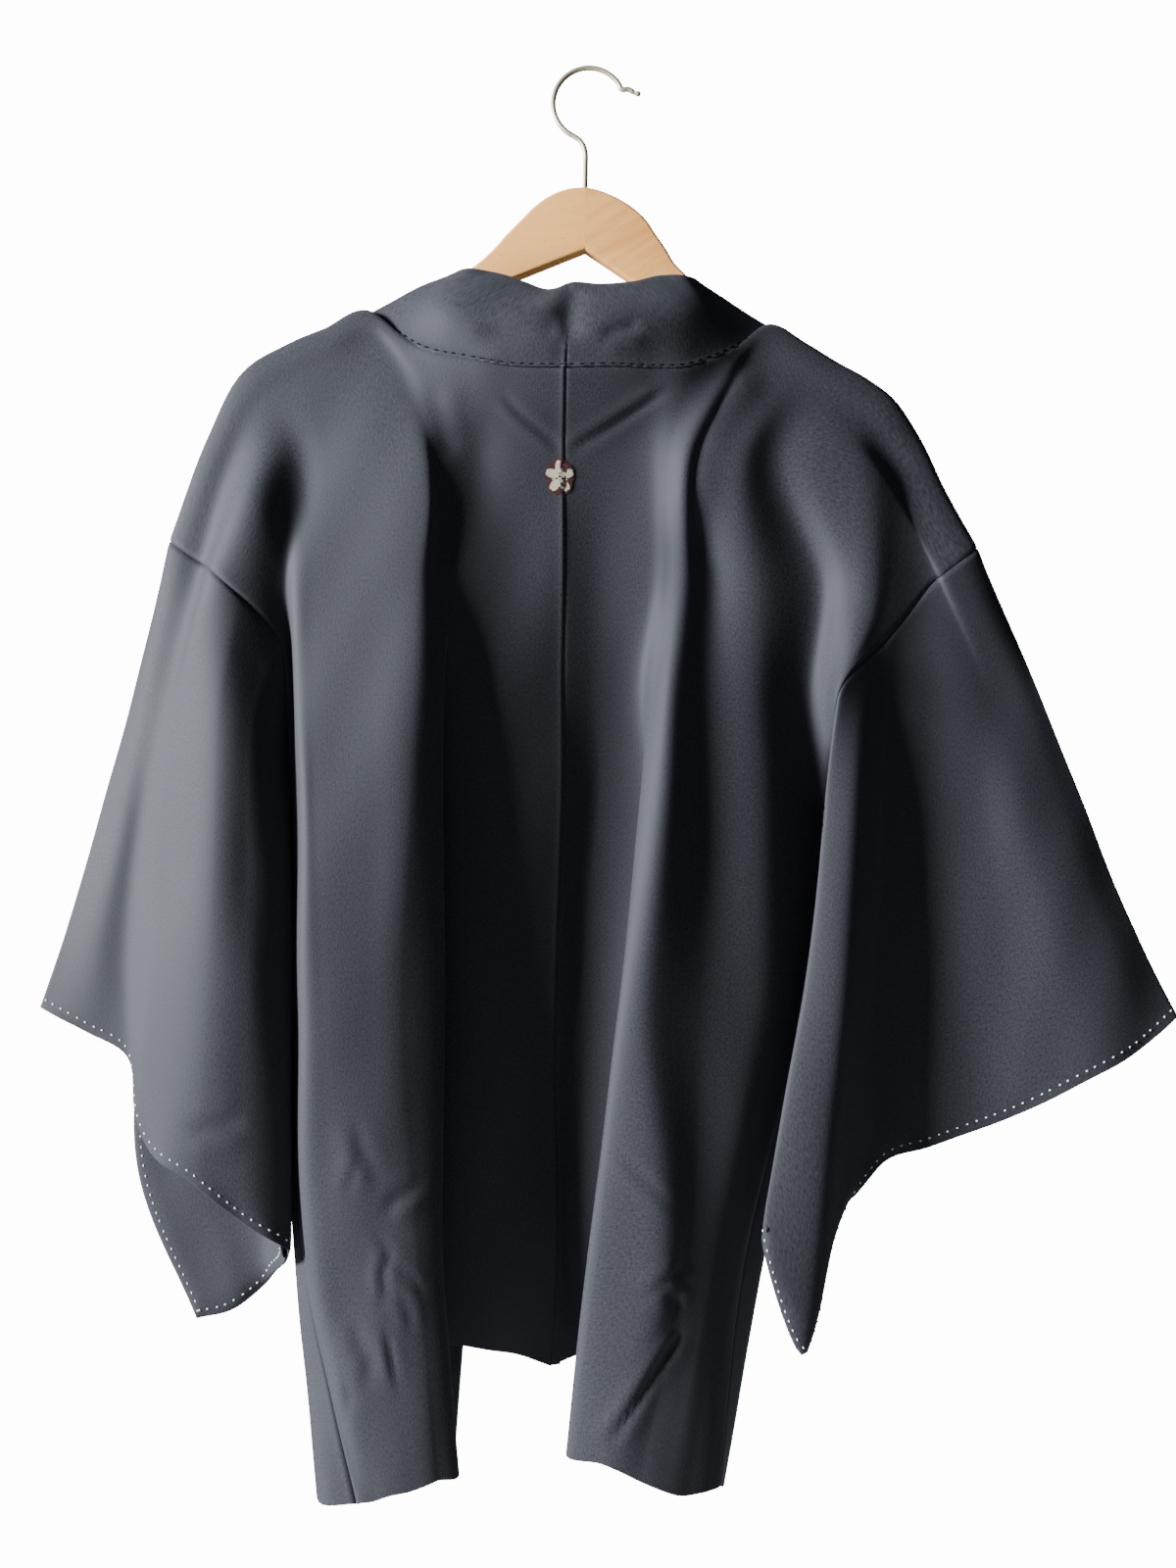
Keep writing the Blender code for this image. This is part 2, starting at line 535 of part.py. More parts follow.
def sew(bodies, sleeves, gussets, collar):
    """The shifts that part every pair of pieces along their shared seam."""
    start = BODY_ROWS.index(ARMHOLE_LEVEL)
    rows = len(BODY_ROWS)
    shifts = {"collar": np.zeros_like(collar)}
    for side, (back, front, first) in bodies.items():
        sleeve_back, sleeve_front = sleeves[side]
        shifts[side] = {
            "back": np.zeros_like(back),
            "front": np.zeros_like(front),
            "sleeve back": np.zeros_like(sleeve_back),
            "sleeve front": np.zeros_like(sleeve_front),
            "gusset": np.zeros_like(gussets[side]),
        }
        moved = shifts[side]
        for body, body_name, layer, layer_name, place, inner in (
            (back, "back", sleeve_back, "sleeve back", 0, 1),
            (front, "front", sleeve_front, "sleeve front", -1, -2),
        ):
            edge = body[-1, : start + 1]
            one, two = part_seam(edge, body[-2, : start + 1], layer[: start + 1, 1])
            moved[body_name][-1, : start + 1] += one
            moved[layer_name][: start + 1, 0] += two
            moved[layer_name][start, 0] += two[-1]
            sign = -1.0 if side == "left" else 1.0
            moved[layer_name][start - 1: start + 2, : 4, 0] += sign * UNDERARM_GAP
            if place == -1:
                moved[layer_name][start - 3: start + 2, 1: 4, 0] += sign * UNDERARM_EASE
            edge = body[-1, start:]
            one, two = part_seam(edge, body[-2, start:], gussets[side][inner])
            moved[body_name][-1, start + 1:] += one[1:]
            moved["gusset"][place] += two
        moved["sleeve front"][0] = moved["sleeve back"][0]
        drop = gussets[side][:, 1] - gussets[side][:, 0]
        moved["gusset"][:, 0] += drop * GUSSET_DROP

        if side == "left":
            fronts = np.arange(rows - 2, -1, -1)
            places = rows - 1 + first - np.arange(0, first + 1)
        else:
            left_first = bodies["left"][2]
            places = rows - 1 + left_first + np.arange(0, first + 1)
            fronts = rows + left_first + first + np.arange(0, rows - 1)
        order = np.arange(0, first + 1)
        edge = back[order, 0]
        one, two = part_seam(edge, back[order, 1], collar[places, 1])
        moved["back"][order, 0] += one
        shifts["collar"][places, 0] += two
        edge = front[0]
        inside = np.concatenate([collar[places[-1:], 1], collar[fronts, 1]])
        one, two = part_seam(edge, front[1], inside)
        moved["front"][0, 1:] += one[1:]
        moved["back"][first, 0] += one[0]
        shifts["collar"][places[-1:], 0] += two[:1] * 0.5
        shifts["collar"][fronts, 0] += two[1:]
    edge = bodies["left"][0][0]
    one, two = part_seam(edge, bodies["left"][0][1], bodies["right"][0][1])
    shifts["left"]["back"][0] += one
    shifts["right"]["back"][0] += two
    return shifts


def make_arm(name, crown, shoulder, tip, underside, material):
    """A flat hanger half whose top edge lies just under the cloth."""
    top = [(point[0], point[2] - ARM_BELOW_CLOTH) for point in shoulder]
    outline = [(x * MM, z * MM) for x, z in crown] + top
    outline += [(x * MM, z * MM) for x, z in tip + underside]
    side = -1.0 if tip[0][0] < 0 else 1.0
    outline = [(x + side * 0.00015 if abs(x + 0.002) < 1e-6 else x, z) for x, z in outline]
    curve = bpy.data.curves.new(name, "CURVE")
    curve.dimensions = "2D"
    curve.fill_mode = "BOTH"
    curve.extrude = ARM_THICKNESS / 2 - ARM_EDGE
    curve.bevel_depth = ARM_EDGE
    curve.offset = -ARM_EDGE
    curve.bevel_resolution = 2
    spline = curve.splines.new("POLY")
    spline.points.add(len(outline) - 1)
    for point, (x, z) in zip(spline.points, outline):
        point.co = (x, z, 0.0, 1.0)
    spline.use_cyclic_u = True
    obj = bpy.data.objects.new(name, curve)
    obj.rotation_euler = (math.pi / 2, 0.0, 0.0)
    parts.objects.link(obj)
    curve.materials.append(material)
    return obj


def make_wire(name, points, radius, material, resolution=3):
    curve = bpy.data.curves.new(name, "CURVE")
    curve.dimensions = "3D"
    curve.bevel_depth = radius
    curve.bevel_resolution = resolution
    curve.use_fill_caps = True
    spline = curve.splines.new("POLY")
    spline.points.add(len(points) - 1)
    for point, place in zip(spline.points, points):
        point.co = (*place, 1.0)
    obj = bpy.data.objects.new(name, curve)
    parts.objects.link(obj)
    curve.materials.append(material)
    return obj


def hook_points():
    """The open end, round the top, and down to the stem in the crown."""
    centre = (0.0007, -HOOK_RADIUS + WIRE_RADIUS)
    points = [(0.0355, 0.0, -0.0158), (0.0315, 0.0, -0.0152), (0.0275, 0.0, -0.0128)]
    for step in range(25):
        angle = math.radians(24 + 222 * step / 24)
        x = centre[0] + HOOK_RADIUS * math.cos(angle)
        z = centre[1] + HOOK_RADIUS * math.sin(angle)
        points.append((x, 0.0, z))
    points += [(-0.0052, 0.0, -0.0475), (-0.0028, 0.0, -0.0515), (-0.0017, 0.0, -0.0560),
               (-0.0017, 0.0, -0.0640), (-0.0020, 0.0, -0.0796)]
    return points


def make_crest(material, bodies):
    """A five-lobed blossom on the centre seam, made from the back's own surface."""
    points = np.concatenate([bodies["left"][0].reshape(-1, 3), bodies["right"][0].reshape(-1, 3)])
    centre = np.array([-0.0187, -0.278])

    def depth(x, z):
        distance = np.hypot(points[:, 0] - x, points[:, 2] - z) + 1e-4
        near = np.argsort(distance)[:6]
        weights = 1 / distance[near] ** 2
        return float((points[near, 1] * weights).sum() / weights.sum())

    mesh = bmesh.new()
    rings = []
    for share in (0.5, 1.0):
        ring = []
        for step in range(30):
            angle = 2 * math.pi * step / 30
            lobe = 0.84 + 0.16 * abs(math.cos(2.5 * angle - math.pi * 0.25)) ** 0.7
            x = centre[0] + share * lobe * CREST_WIDTH / 2 * math.cos(angle)
            z = centre[1] + share * lobe * CREST_HEIGHT / 2 * math.sin(angle)
            ring.append(mesh.verts.new((x, depth(x, z) - CREST_LIFT, z)))
        rings.append(ring)
    middle = mesh.verts.new((centre[0], depth(*centre) - CREST_LIFT, centre[1]))
    for step in range(30):
        after = (step + 1) % 30
        mesh.faces.new((middle, rings[0][step], rings[0][after]))
        for inner, outer in zip(rings, rings[1:]):
            mesh.faces.new((inner[step], outer[step], outer[after], inner[after]))
    obj = finish_cloth(mesh, "crest", material, BACKWARD)
    obj.modifiers["wall"].thickness = CREST_WALL
    return obj


clear_scene()
parts = bpy.data.collections.new("haori_jacket")
bpy.context.scene.collection.children.link(parts)
cloth = make_material("silk crepe", CLOTH_COLOUR, 0.75)
wood = make_material("beech", WOOD_COLOUR, 0.5)
steel = make_material("brushed nickel", STEEL_COLOUR, 0.35, 1.0)
crest_silk = make_material("crest silk", CREST_COLOUR, 0.6)

bodies = {
    "left": body_piece(BACK_LEFT, FRONT_LEFT, NECK_LEFT, (1, 2, 2, 2, 2, 2, 2, 3, 3)),
    "right": body_piece(BACK_RIGHT, FRONT_RIGHT, NECK_RIGHT, (1, 2, 2, 2, 2, 2, 2, 2, 2, 1, 1, 1)),
}
SLEEVES = {
    "left": (SLEEVE_LEFT, SLEEVE_LEFT_TOP, (1, 1, 1, 1, 1, 1, 1, 2, 2, 2)),
    "right": (SLEEVE_RIGHT, SLEEVE_RIGHT_TOP, (1, 1, 1, 1, 1, 1, 1, 1, 1, 2)),
}
armhole = BODY_ROWS.index(ARMHOLE_LEVEL) + 1
sleeves = {}
gussets = {}
for side, (back, front, first) in bodies.items():
    table, tops, counts = SLEEVES[side]
    sleeves[side] = sleeve_grid(table, tops, back[-1, :armhole], front[-1, :armhole], counts)
    gussets[side] = gusset_grid(back, front, GUSSET_LEFT if side == "left" else GUSSET_RIGHT)
collar = collar_grid(bodies)
shifts = sew(bodies, sleeves, gussets, collar)
for side, (back, front, first) in bodies.items():
    moved = shifts[side]
    make_body("body_" + side, back + moved["back"], front + moved["front"], first, cloth)
    sleeve_back = sleeves[side][0] + moved["sleeve back"]
    sleeve_front = sleeves[side][1] + moved["sleeve front"]
    make_sleeve("sleeve_" + side, sleeve_back, sleeve_front, armhole, cloth)
    make_strip("gusset_" + side, gussets[side] + moved["gusset"], cloth, BACKWARD)
make_strip("collar", collar + shifts["collar"], cloth, BACKWARD)
make_crest(crest_silk, bodies)

for side, crown, tip, underside in (("left", CROWN_LEFT, TIP_LEFT, UNDERSIDE_LEFT),
                                    ("right", CROWN_RIGHT, TIP_RIGHT, UNDERSIDE_RIGHT)):
    back, _, first = bodies[side]
    start = abs(crown[-1][0]) * MM + 0.018
    end = abs(tip[0][0]) * MM - 0.004
    line = [point for point in back[first:, 0] if start < abs(point[0]) < end]
    make_arm("hanger_arm_" + side, crown, line, tip, underside, wood)
make_wire("hanger_hook", hook_points(), WIRE_RADIUS, steel)
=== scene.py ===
import math
import bmesh
import bpy
import numpy as np
from mathutils import Matrix, Vector
from mathutils.bvhtree import BVHTree


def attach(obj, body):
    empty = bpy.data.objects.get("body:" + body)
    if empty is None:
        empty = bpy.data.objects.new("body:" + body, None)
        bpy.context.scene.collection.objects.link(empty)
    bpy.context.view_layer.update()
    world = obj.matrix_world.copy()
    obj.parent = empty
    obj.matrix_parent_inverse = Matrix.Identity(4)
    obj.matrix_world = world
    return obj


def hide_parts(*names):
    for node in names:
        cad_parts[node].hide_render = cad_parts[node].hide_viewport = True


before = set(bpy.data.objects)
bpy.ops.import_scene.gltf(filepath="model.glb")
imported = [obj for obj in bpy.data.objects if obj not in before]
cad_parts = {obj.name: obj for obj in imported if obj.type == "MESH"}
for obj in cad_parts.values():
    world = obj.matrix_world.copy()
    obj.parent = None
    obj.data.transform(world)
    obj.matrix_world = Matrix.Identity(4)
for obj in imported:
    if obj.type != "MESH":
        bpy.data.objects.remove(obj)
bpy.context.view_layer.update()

mm = 0.001
print("frame loaded:", len(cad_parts), "nodes")

# ---- fold lines, in millimetres: name, then (x, y, z) at each height ----
levels = (0.0, 8.0, 16.0, 34.0, 70.0, 160.0, 225.0, 280.0, 430.0, 590.0, 725.0)
armCap = ((6.8, 2.0), (9.6, 9.5), (11.5, 27.0))  # depth and drop of the cloth round the hanger arm
armholeLevel = 280.0
neckLine = {"left": 4, "right": 5}  # fold line where the neckline ends and the shoulder starts
sleeveLevels = (0.0, 95.0, 210.0, 330.0, 430.0)

backLeft = (
    ("centre seam", (-15, -34, -209), (-16, -20, -255), (-16, -19, -351), (-17, -15, -419),
     (-17, -12, -474), (-22, -9, -631), (-21, -11, -800), (-25, -14, -866)),
    ("centre flat", (-46, -33, -208), (-49, -21, -255), (-50, -23, -352), (-51, -23, -419),
     (-52, -20, -474), (-54, -19, -629), (-56, -17, -788), (-57, -16, -856)),
    ("pleat root", (-78, -30, -202), (-77, -21, -255), (-84, -29, -353), (-96, -28, -420),
     (-108, -26, -474), (-124, -26, -628), (-134, -30, -780), (-136, -32, -851)),
    ("pleat edge", (-112, -20, -191), (-101, -25, -256), (-96, -34, -353), (-94, -38, -420),
     (-94, -38, -474), (-92, -42, -625), (-93, -50, -786), (-82, -62, -909)),
    ("pleat face", (-147, 0, -163), (-113, -27, -256), (-109, -42, -355), (-109, -47, -421),
     (-111, -49, -474), (-117, -53, -623), (-106, -59, -783), (-94, -71, -913)),
    ("brow", (-177, 0, -175), (-151, -22, -255), (-143, -38, -354), (-142, -45, -421),
     (-140, -49, -474), (-141, -57, -623), (-133, -62, -782), (-110, -74, -918)),
    ("outer turn", (-203, 0, -186), (-177, -18, -254), (-178, -34, -353), (-176, -41, -421),
     (-174, -47, -474), (-166, -58, -623), (-157, -60, -782), (-124, -74, -921)),
    ("valley", (-226, 0, -199), (-193, -15, -255), (-189, -33, -357), (-186, -39, -421),
     (-182, -46, -474), (-178, -57, -623), (-171, -58, -783), (-131, -73, -924)),
    ("inner side", (-255, 0, -248), (-221, -30, -291), (-197, -19, -377), (-193, -21, -419),
     (-192, -23, -474), (-189, -31, -627), (-181, -41, -789), (-140, -72, -926)),
    ("seam edge", (-281, 0, -318), (-246, -29, -341), (-203, -24, -387), (-199, -22, -419),
     (-197, -21, -474), (-202, -8, -631), (-184, -38, -790), (-144, -70, -928)),
)
backRight = (
    backLeft[0],    # both lengths meet at the centre seam
    ("centre flat", (16, -33, -208), (12, -17, -254), (8, -14, -351), (7, -8, -418),
     (7, -3, -474), (-1, -2, -632), (-7, -8, -791), (-1, -13, -858)),
    ("pleat root", (42, -30, -208), (39, -17, -254), (39, -14, -351), (35, -10, -418),
     (42, -10, -474), (49, -22, -629), (47, -28, -781), (42, -32, -856)),
    ("pleat edge", (69, -26, -205), (54, -21, -255), (51, -19, -351), (42, -26, -420),
     (36, -34, -474), (20, -49, -624), (0, -58, -783), (-14, -64, -899)),
    ("pleat crest", (94, -17, -193), (66, -25, -256), (62, -24, -352), (52, -38, -420),
     (48, -46, -474), (35, -57, -623), (38, -66, -780), (8, -73, -901)),
    ("groove", (122, 0, -172), (78, -20, -255), (82, -17, -351), (78, -28, -420),
     (77, -34, -474), (75, -44, -625), (62, -60, -782), (33, -74, -912)),
    ("second ridge", (147, 0, -185), (105, -23, -255), (111, -21, -352), (112, -26, -420),
     (116, -30, -474), (111, -38, -626), (76, -56, -784), (46, -73, -918)),
    ("valley", (170, 0, -199), (129, -18, -257), (155, -12, -350), (147, -12, -419),
     (150, -12, -474), (132, -27, -628), (83, -53, -785), (56, -71, -922)),
    ("sleeve fold edge", (188, 0, -209), (150, -20, -258), (166, -22, -352), (156, -23, -424),
     (159, -13, -474), (137, -24, -628), (89, -50, -786), (62, -69, -923)),
    ("sleeve fold crest", (205, 0, -222), (172, -20, -261), (175, -27, -360), (158, -29, -424),
     (163, -12, -474), (142, -20, -629), (92, -48, -787), (68, -67, -923)),
    ("second valley", (222, 0, -247), (189, -20, -274), (183, -29, -370), (159, -35, -425),
     (168, -10, -474), (145, -16, -630), (96, -45, -788), (73, -65, -923)),
    ("inner side", (239, -4, -285), (210, -18, -306), (190, -27, -379), (160, -39, -426),
     (172, -8, -474), (145, -12, -630), (99, -41, -789), (78, -62, -923)),
    ("seam edge", (259, -9, -324), (230, -18, -346), (196, -25, -386), (161, -40, -425),
     (176, -10, -474), (145, -8, -631), (101, -36, -791), (83, -59, -923)),
)
frontLeft = (
    ("front edge", (-141, 12, -250), (-134, 16, -345), (-129, 17, -410),
     (-126, 17, -470), (-122, 18, -620), (-122, 19, -780), (-122, 19, -925)),
    ("first fold", (-166, 9, -252), (-155, 6, -348), (-148, 1, -412),
     (-143, -4, -470), (-138, -10, -620), (-136, -12, -780), (-134, -14, -926)),
    ("second fold", (-192, 14, -256), (-178, 19, -350), (-168, 20, -414),
     (-161, 21, -472), (-152, 21, -620), (-149, 21, -780), (-147, 20, -927)),
    ("third fold", (-215, 9, -262), (-196, 4, -356), (-186, -2, -416),
     (-177, -6, -473), (-166, -14, -620), (-160, -22, -780), (-156, -30, -927)),
    ("inner side", (-238, 16, -300), (-208, 6, -380), (-197, 7, -420),
     (-189, 10, -474), (-178, 18, -620), (-178, 16, -780), (-170, 8, -926)),
    ("seam edge", (-247, 17, -340), (-211, 8, -388), (-204, 4, -422),
     (-202, 2, -475), (-190, 12, -620), (-188, 10, -783), (-175, -20, -926)),
)
frontRight = (
    ("front edge", (120, 13, -262), (108, 16, -352), (98, 17, -412),
     (90, 17, -470), (68, 18, -620), (44, 19, -780), (24, 19, -912)),
    ("first fold", (143, 9, -266), (127, 6, -354), (115, 1, -414),
     (105, -4, -472), (82, -10, -620), (57, -12, -780), (37, -14, -913)),
    ("second fold", (168, 14, -272), (148, 19, -358), (135, 20, -416),
     (123, 21, -474), (98, 21, -620), (72, 21, -780), (50, 20, -914)),
    ("third fold", (190, 9, -280), (165, 4, -364), (150, -2, -420),
     (139, -2, -474), (114, -14, -620), (84, -24, -780), (60, -32, -915)),
    ("inner side", (214, 15, -312), (184, 8, -392), (168, 9, -430),
     (161, 13, -474), (134, 17, -620), (104, 15, -780), (80, 10, -914)),
    ("seam edge", (226, 15, -352), (197, 6, -405), (189, 6, -440),
     (185, 6, -475), (149, 10, -620), (116, 8, -783), (90, -6, -916)),
)
# gusset: offset of its middle line from halfway between the two side edges, at four heights
gussetLeft = ((0, 4, 0), (-10, 6, -8), (-7, -6, -10), (-10, -15, -5))
gussetRight = ((4, -1, 0), (6, 1, -8), (8, 2, -13), (2, -4, -12))
# sleeve fold lines, from the top fold round to the bottom edge, at four heights below the armhole
sleeveLeft = (
    ("top fold", (-303, -5, -417), (-326, -10, -506), (-346, -14, -579), (-361, -18, -628)),
    ("flat strip", (-292, -15, -419), (-308, -20, -510), (-322, -23, -585), (-328, -26, -643)),
    ("step foot", (-278, -22, -429), (-295, -23, -519), (-301, -26, -596), (-299, -30, -659)),
    ("step crest", (-267, -30, -433), (-277, -34, -525), (-280, -41, -606), (-288, -42, -704)),
    ("crest", (-237, -45, -437), (-238, -52, -530), (-242, -58, -623), (-248, -59, -733)),
    ("lee side", (-217, -41, -440), (-216, -50, -537), (-216, -57, -632), (-219, -56, -757)),
    ("lee edge", (-202, -35, -474), (-197, -43, -568), (-195, -49, -668), (-194, -50, -775)),
    ("inner fold", (-194, -30, -516), (-192, -37, -601), (-191, -41, -688), (-190, -43, -783)),
    ("behind", (-215, -2, -533), (-216, -1, -619), (-215, 0, -712), (-211, 0, -811)),
    ("far layer", (-241, 4, -543), (-254, 7, -627), (-264, 8, -727), (-237, 5, -833)),
    ("bottom edge", (-280, 8, -567), (-302, 9, -650), (-303, 9, -750), (-264, 6, -841)),
)
sleeveRight = (
    ("top fold", (291, -11, -400), (324, -14, -484), (356, -18, -568), (388, -19, -634)),
    ("outer strip", (284, -15, -412), (309, -21, -497), (337, -26, -582), (360, -27, -655)),
    ("ridge", (268, -17, -419), (287, -25, -506), (309, -29, -590), (330, -30, -671)),
    ("lit face", (245, -20, -424), (260, -22, -513), (269, -23, -603), (283, -23, -697)),
    ("valley", (219, -22, -432), (221, -20, -522), (221, -19, -616), (225, -18, -720)),
    ("valley wall", (199, -25, -445), (198, -23, -535), (196, -21, -629), (193, -20, -731)),
    ("right edge", (188, -32, -458), (183, -35, -547), (174, -38, -642), (164, -38, -765)),
    ("fold crest", (171, -42, -474), (165, -46, -562), (156, -50, -658), (137, -58, -842)),
    ("left edge", (154, -40, -480), (145, -42, -569), (130, -46, -659), (110, -54, -767)),
    ("behind", (175, -33, -506), (171, -32, -589), (160, -34, -671), (136, -42, -771)),
    ("bottom edge", (193, -16, -532), (188, -16, -604), (176, -18, -681), (155, -28, -762)),
)
# where each line starts: a share of the armhole, or a point below it
sleeveLeftTop = (0.0, 0.1, 0.2, 0.28, 0.4, 0.6, 0.85, 1.0,
                 (-204, -10, -488), (-223, -2, -498), (-251, 6, -514))
sleeveRightTop = (0.0, 0.1, 0.18, 0.25, 0.32, 0.39, 0.48, 0.58, 0.7, 1.0, (194, -15, -492))
# collar: name, the edge it is sewn to, share of that edge, then its middle and its free edge
collarStations = (
    ("left hem", "front left", 1.0, (-105, 17, -925), (-89, -8, -924)),
    ("left waist", "front left", 0.62, (-98, 19, -620), (-70, 11, -620)),
    ("left chest", "front left", 0.24, (-108, 19, -342), (-76, 15, -338)),
    ("left yoke", "front left", 0.10, (-117, 16, -235), (-84, 16, -222)),
    ("left cap", "front left", 0.035, (-119, 11, -166), (-88, 12, -148)),
    ("left edge", "front left", 0.0095, (-117, 7, -152), (-89, 8, -141)),
    ("left shoulder", "neck left", 1.0, (-116, 0, -148), (-89, 0, -139)),
    ("left rise", "neck left", 0.86, (-107, -13, -158), (-82, -13, -139)),
    ("left quarter", "neck left", 0.70, (-93, -24, -166), (-64, -15, -142)),
    ("left back", "neck left", 0.42, (-62, -31, -177), (-43, -17, -149)),
    ("centre left", "neck left", 0.2, (-36, -34, -180), (-26, -18, -155)),
    ("centre", "neck left", 0.0, (-13, -33, -182), (-10, -18, -150)),
    ("centre right", "neck right", 0.2, (15, -34, -180), (8, -18, -151)),
    ("right back", "neck right", 0.42, (42, -31, -178), (30, -17, -149)),
    ("right quarter", "neck right", 0.68, (69, -23, -170), (49, -14, -144)),
    ("right rise", "neck right", 0.86, (84, -13, -165), (66, -13, -144)),
    ("right shoulder", "neck right", 1.0, (94, 0, -156), (74, 0, -144)),
    ("right edge", "front right", 0.0095, (95, 7, -160), (74, 8, -147)),
    ("right cap", "front right", 0.035, (97, 11, -173), (73, 12, -157)),
    ("right yoke", "front right", 0.10, (94, 16, -245), (62, 16, -228)),
    ("right chest", "front right", 0.24, (78, 19, -346), (46, 15, -340)),
    ("right waist", "front right", 0.62, (44, 19, -618), (16, 11, -617)),
    ("right hem", "front right", 1.0, (7, 17, -912), (-10, -8, -911)),
)
# hanger outline, (x, z)
crownLeft = ((-2, -80), (-13, -81), (-26, -86), (-36, -93), (-45, -102), (-54, -111),
             (-62, -120), (-69, -127), (-79, -135), (-98, -149), (-122, -165), (-148, -175))
crownRight = ((-2, -80), (7, -82), (17, -86), (29, -93), (39, -102), (45, -111),
              (52, -121), (58, -131), (68, -141), (84, -158), (104, -178), (124, -189))
tipLeft = ((-223, -202), (-226, -209), (-222, -214), (-214, -213))
tipRight = ((208, -229), (211, -237), (206, -242), (198, -240))
undersideLeft = ((-120, -172), (-48, -141), (-2, -122.5))
undersideRight = ((110, -190), (27, -142), (-2, -122.5))

# ---- cloth shapes ----

def splineWeights(knots, samples):
    # one row of weights a sample: a smooth curve through unevenly spaced knots
    knots = np.asarray(knots, float)
    count = len(knots)
    steps = np.diff(knots)
    spans = np.zeros((count - 1, count))
    for i in range(count - 1):
        spans[i, i] = -1.0 / steps[i]
        spans[i, i + 1] = 1.0 / steps[i]
    slopes = np.zeros((count, count))
    slopes[0], slopes[-1] = spans[0], spans[-1]
    for i in range(1, count - 1):
        slopes[i] = (steps[i] * spans[i - 1] + steps[i - 1] * spans[i]) / (steps[i - 1] + steps[i])
    samples = np.asarray(samples, float)
    place = np.clip(np.searchsorted(knots, samples, side="right") - 1, 0, count - 2)
    step = steps[place]
    t = (samples - knots[place]) / step
    rows = np.arange(len(samples))
    weights = np.zeros((len(samples), count))
    weights[rows, place] += 2 * t**3 - 3 * t**2 + 1
    weights[rows, place + 1] += 3 * t**2 - 2 * t**3
    weights += ((t**3 - 2 * t**2 + t) * step)[:, None] * slopes[place]
    weights += ((t**3 - t**2) * step)[:, None] * slopes[place + 1]
    return weights


def runLengths(points):
    # distance along a line of points, from its first
    return np.concatenate([[0.0], np.cumsum(np.linalg.norm(np.diff(points, axis=0), axis=1))])


def eased(share):
    # 0 to 1 with a soft start and end
    return share * share * (3 - 2 * share)


def clothSurface(net, acrossKnots, downKnots, across, down):
    weights = splineWeights(acrossKnots, across), splineWeights(downKnots, down)
    return np.einsum("ik,jl,klc->ijc", *weights, net)


def meanKnots(net):
    lengths = np.linalg.norm(np.diff(net, axis=0), axis=2).mean(axis=1)
    return np.concatenate([[0.0], np.cumsum(lengths)])


def unitVectors(vectors):
    return vectors / np.maximum(np.linalg.norm(vectors, axis=-1, keepdims=True), 1e-9)


def layerNormals(grid, towards):
    # towards: the index and the direction that its normal should roughly have
    normals = unitVectors(np.cross(np.gradient(grid, axis=0), np.gradient(grid, axis=1)))
    (i, j), way = towards
    return normals if np.dot(normals[i, j], way) > 0 else -normals


def finePlaces(start, end, step, fineStart=True, fineEnd=True):
    # even steps, with a few close ones beside a seam
    near = (0.0, 0.7, 1.5, 2.6, 4.2)
    first = [start + d for d in near] if fineStart else [start]
    last = [end - d for d in near][::-1] if fineEnd else [end]
    count = max(1, int(round((last[0] - first[-1]) / step)))
    middle = np.linspace(first[-1], last[0], count + 1)[1:-1]
    return np.array(first + list(middle) + last)


def capPoints(top, below, side):
    fall = unitVectors((below - top) * (1.0, 0.0, 1.0))
    return [top + fall * drop + np.array([0.0, side * depth, 0.0]) for depth, drop in armCap]


def bodyNets(backTable, frontTable, neck):
    back = []
    for i, row in enumerate(backTable):
        points = np.array(row[1:], float)
        if i >= neck:
            caps = capPoints(points[0], points[1], -1)
        else:
            caps = [points[0] + (points[1] - points[0]) * level / levels[4] for level in levels[1:4]]
        back.append([points[0]] + caps + list(points[1:]))
    back = np.array(back)
    knots = meanKnots(back)
    shoulder = splineWeights(knots, np.linspace(knots[neck], knots[-1], len(frontTable))) @ back[:, 0]
    front = []
    for top, row in zip(shoulder, frontTable):
        points = np.array(row[1:], float)
        front.append([top] + capPoints(top, points[0], 1) + list(points))
    return back, np.array(front)


def bodyGrids(backTable, frontTable, neck, step):
    backNet, frontNet = bodyNets(backTable, frontTable, neck)
    knots = meanKnots(backNet)
    neckPart = finePlaces(knots[0], knots[neck], step, True, True)
    shoulderPart = finePlaces(knots[neck], knots[-1], step, True, True)
    across = np.concatenate([neckPart, shoulderPart[1:]])
    first = len(neckPart) - 1
    down = np.concatenate([finePlaces(0.0, armholeLevel, step, True, False),
                           finePlaces(armholeLevel, levels[-1], step * 1.15, False, True)[1:]])
    back = clothSurface(backNet, knots, levels, across, down)
    frontKnots = np.linspace(knots[neck], knots[-1], len(frontNet))
    front = clothSurface(frontNet, frontKnots, levels, across[first:], down)
    front[:, 0] = back[first:, 0]
    return {"back": back, "front": front, "first": first, "across": across, "down": down}


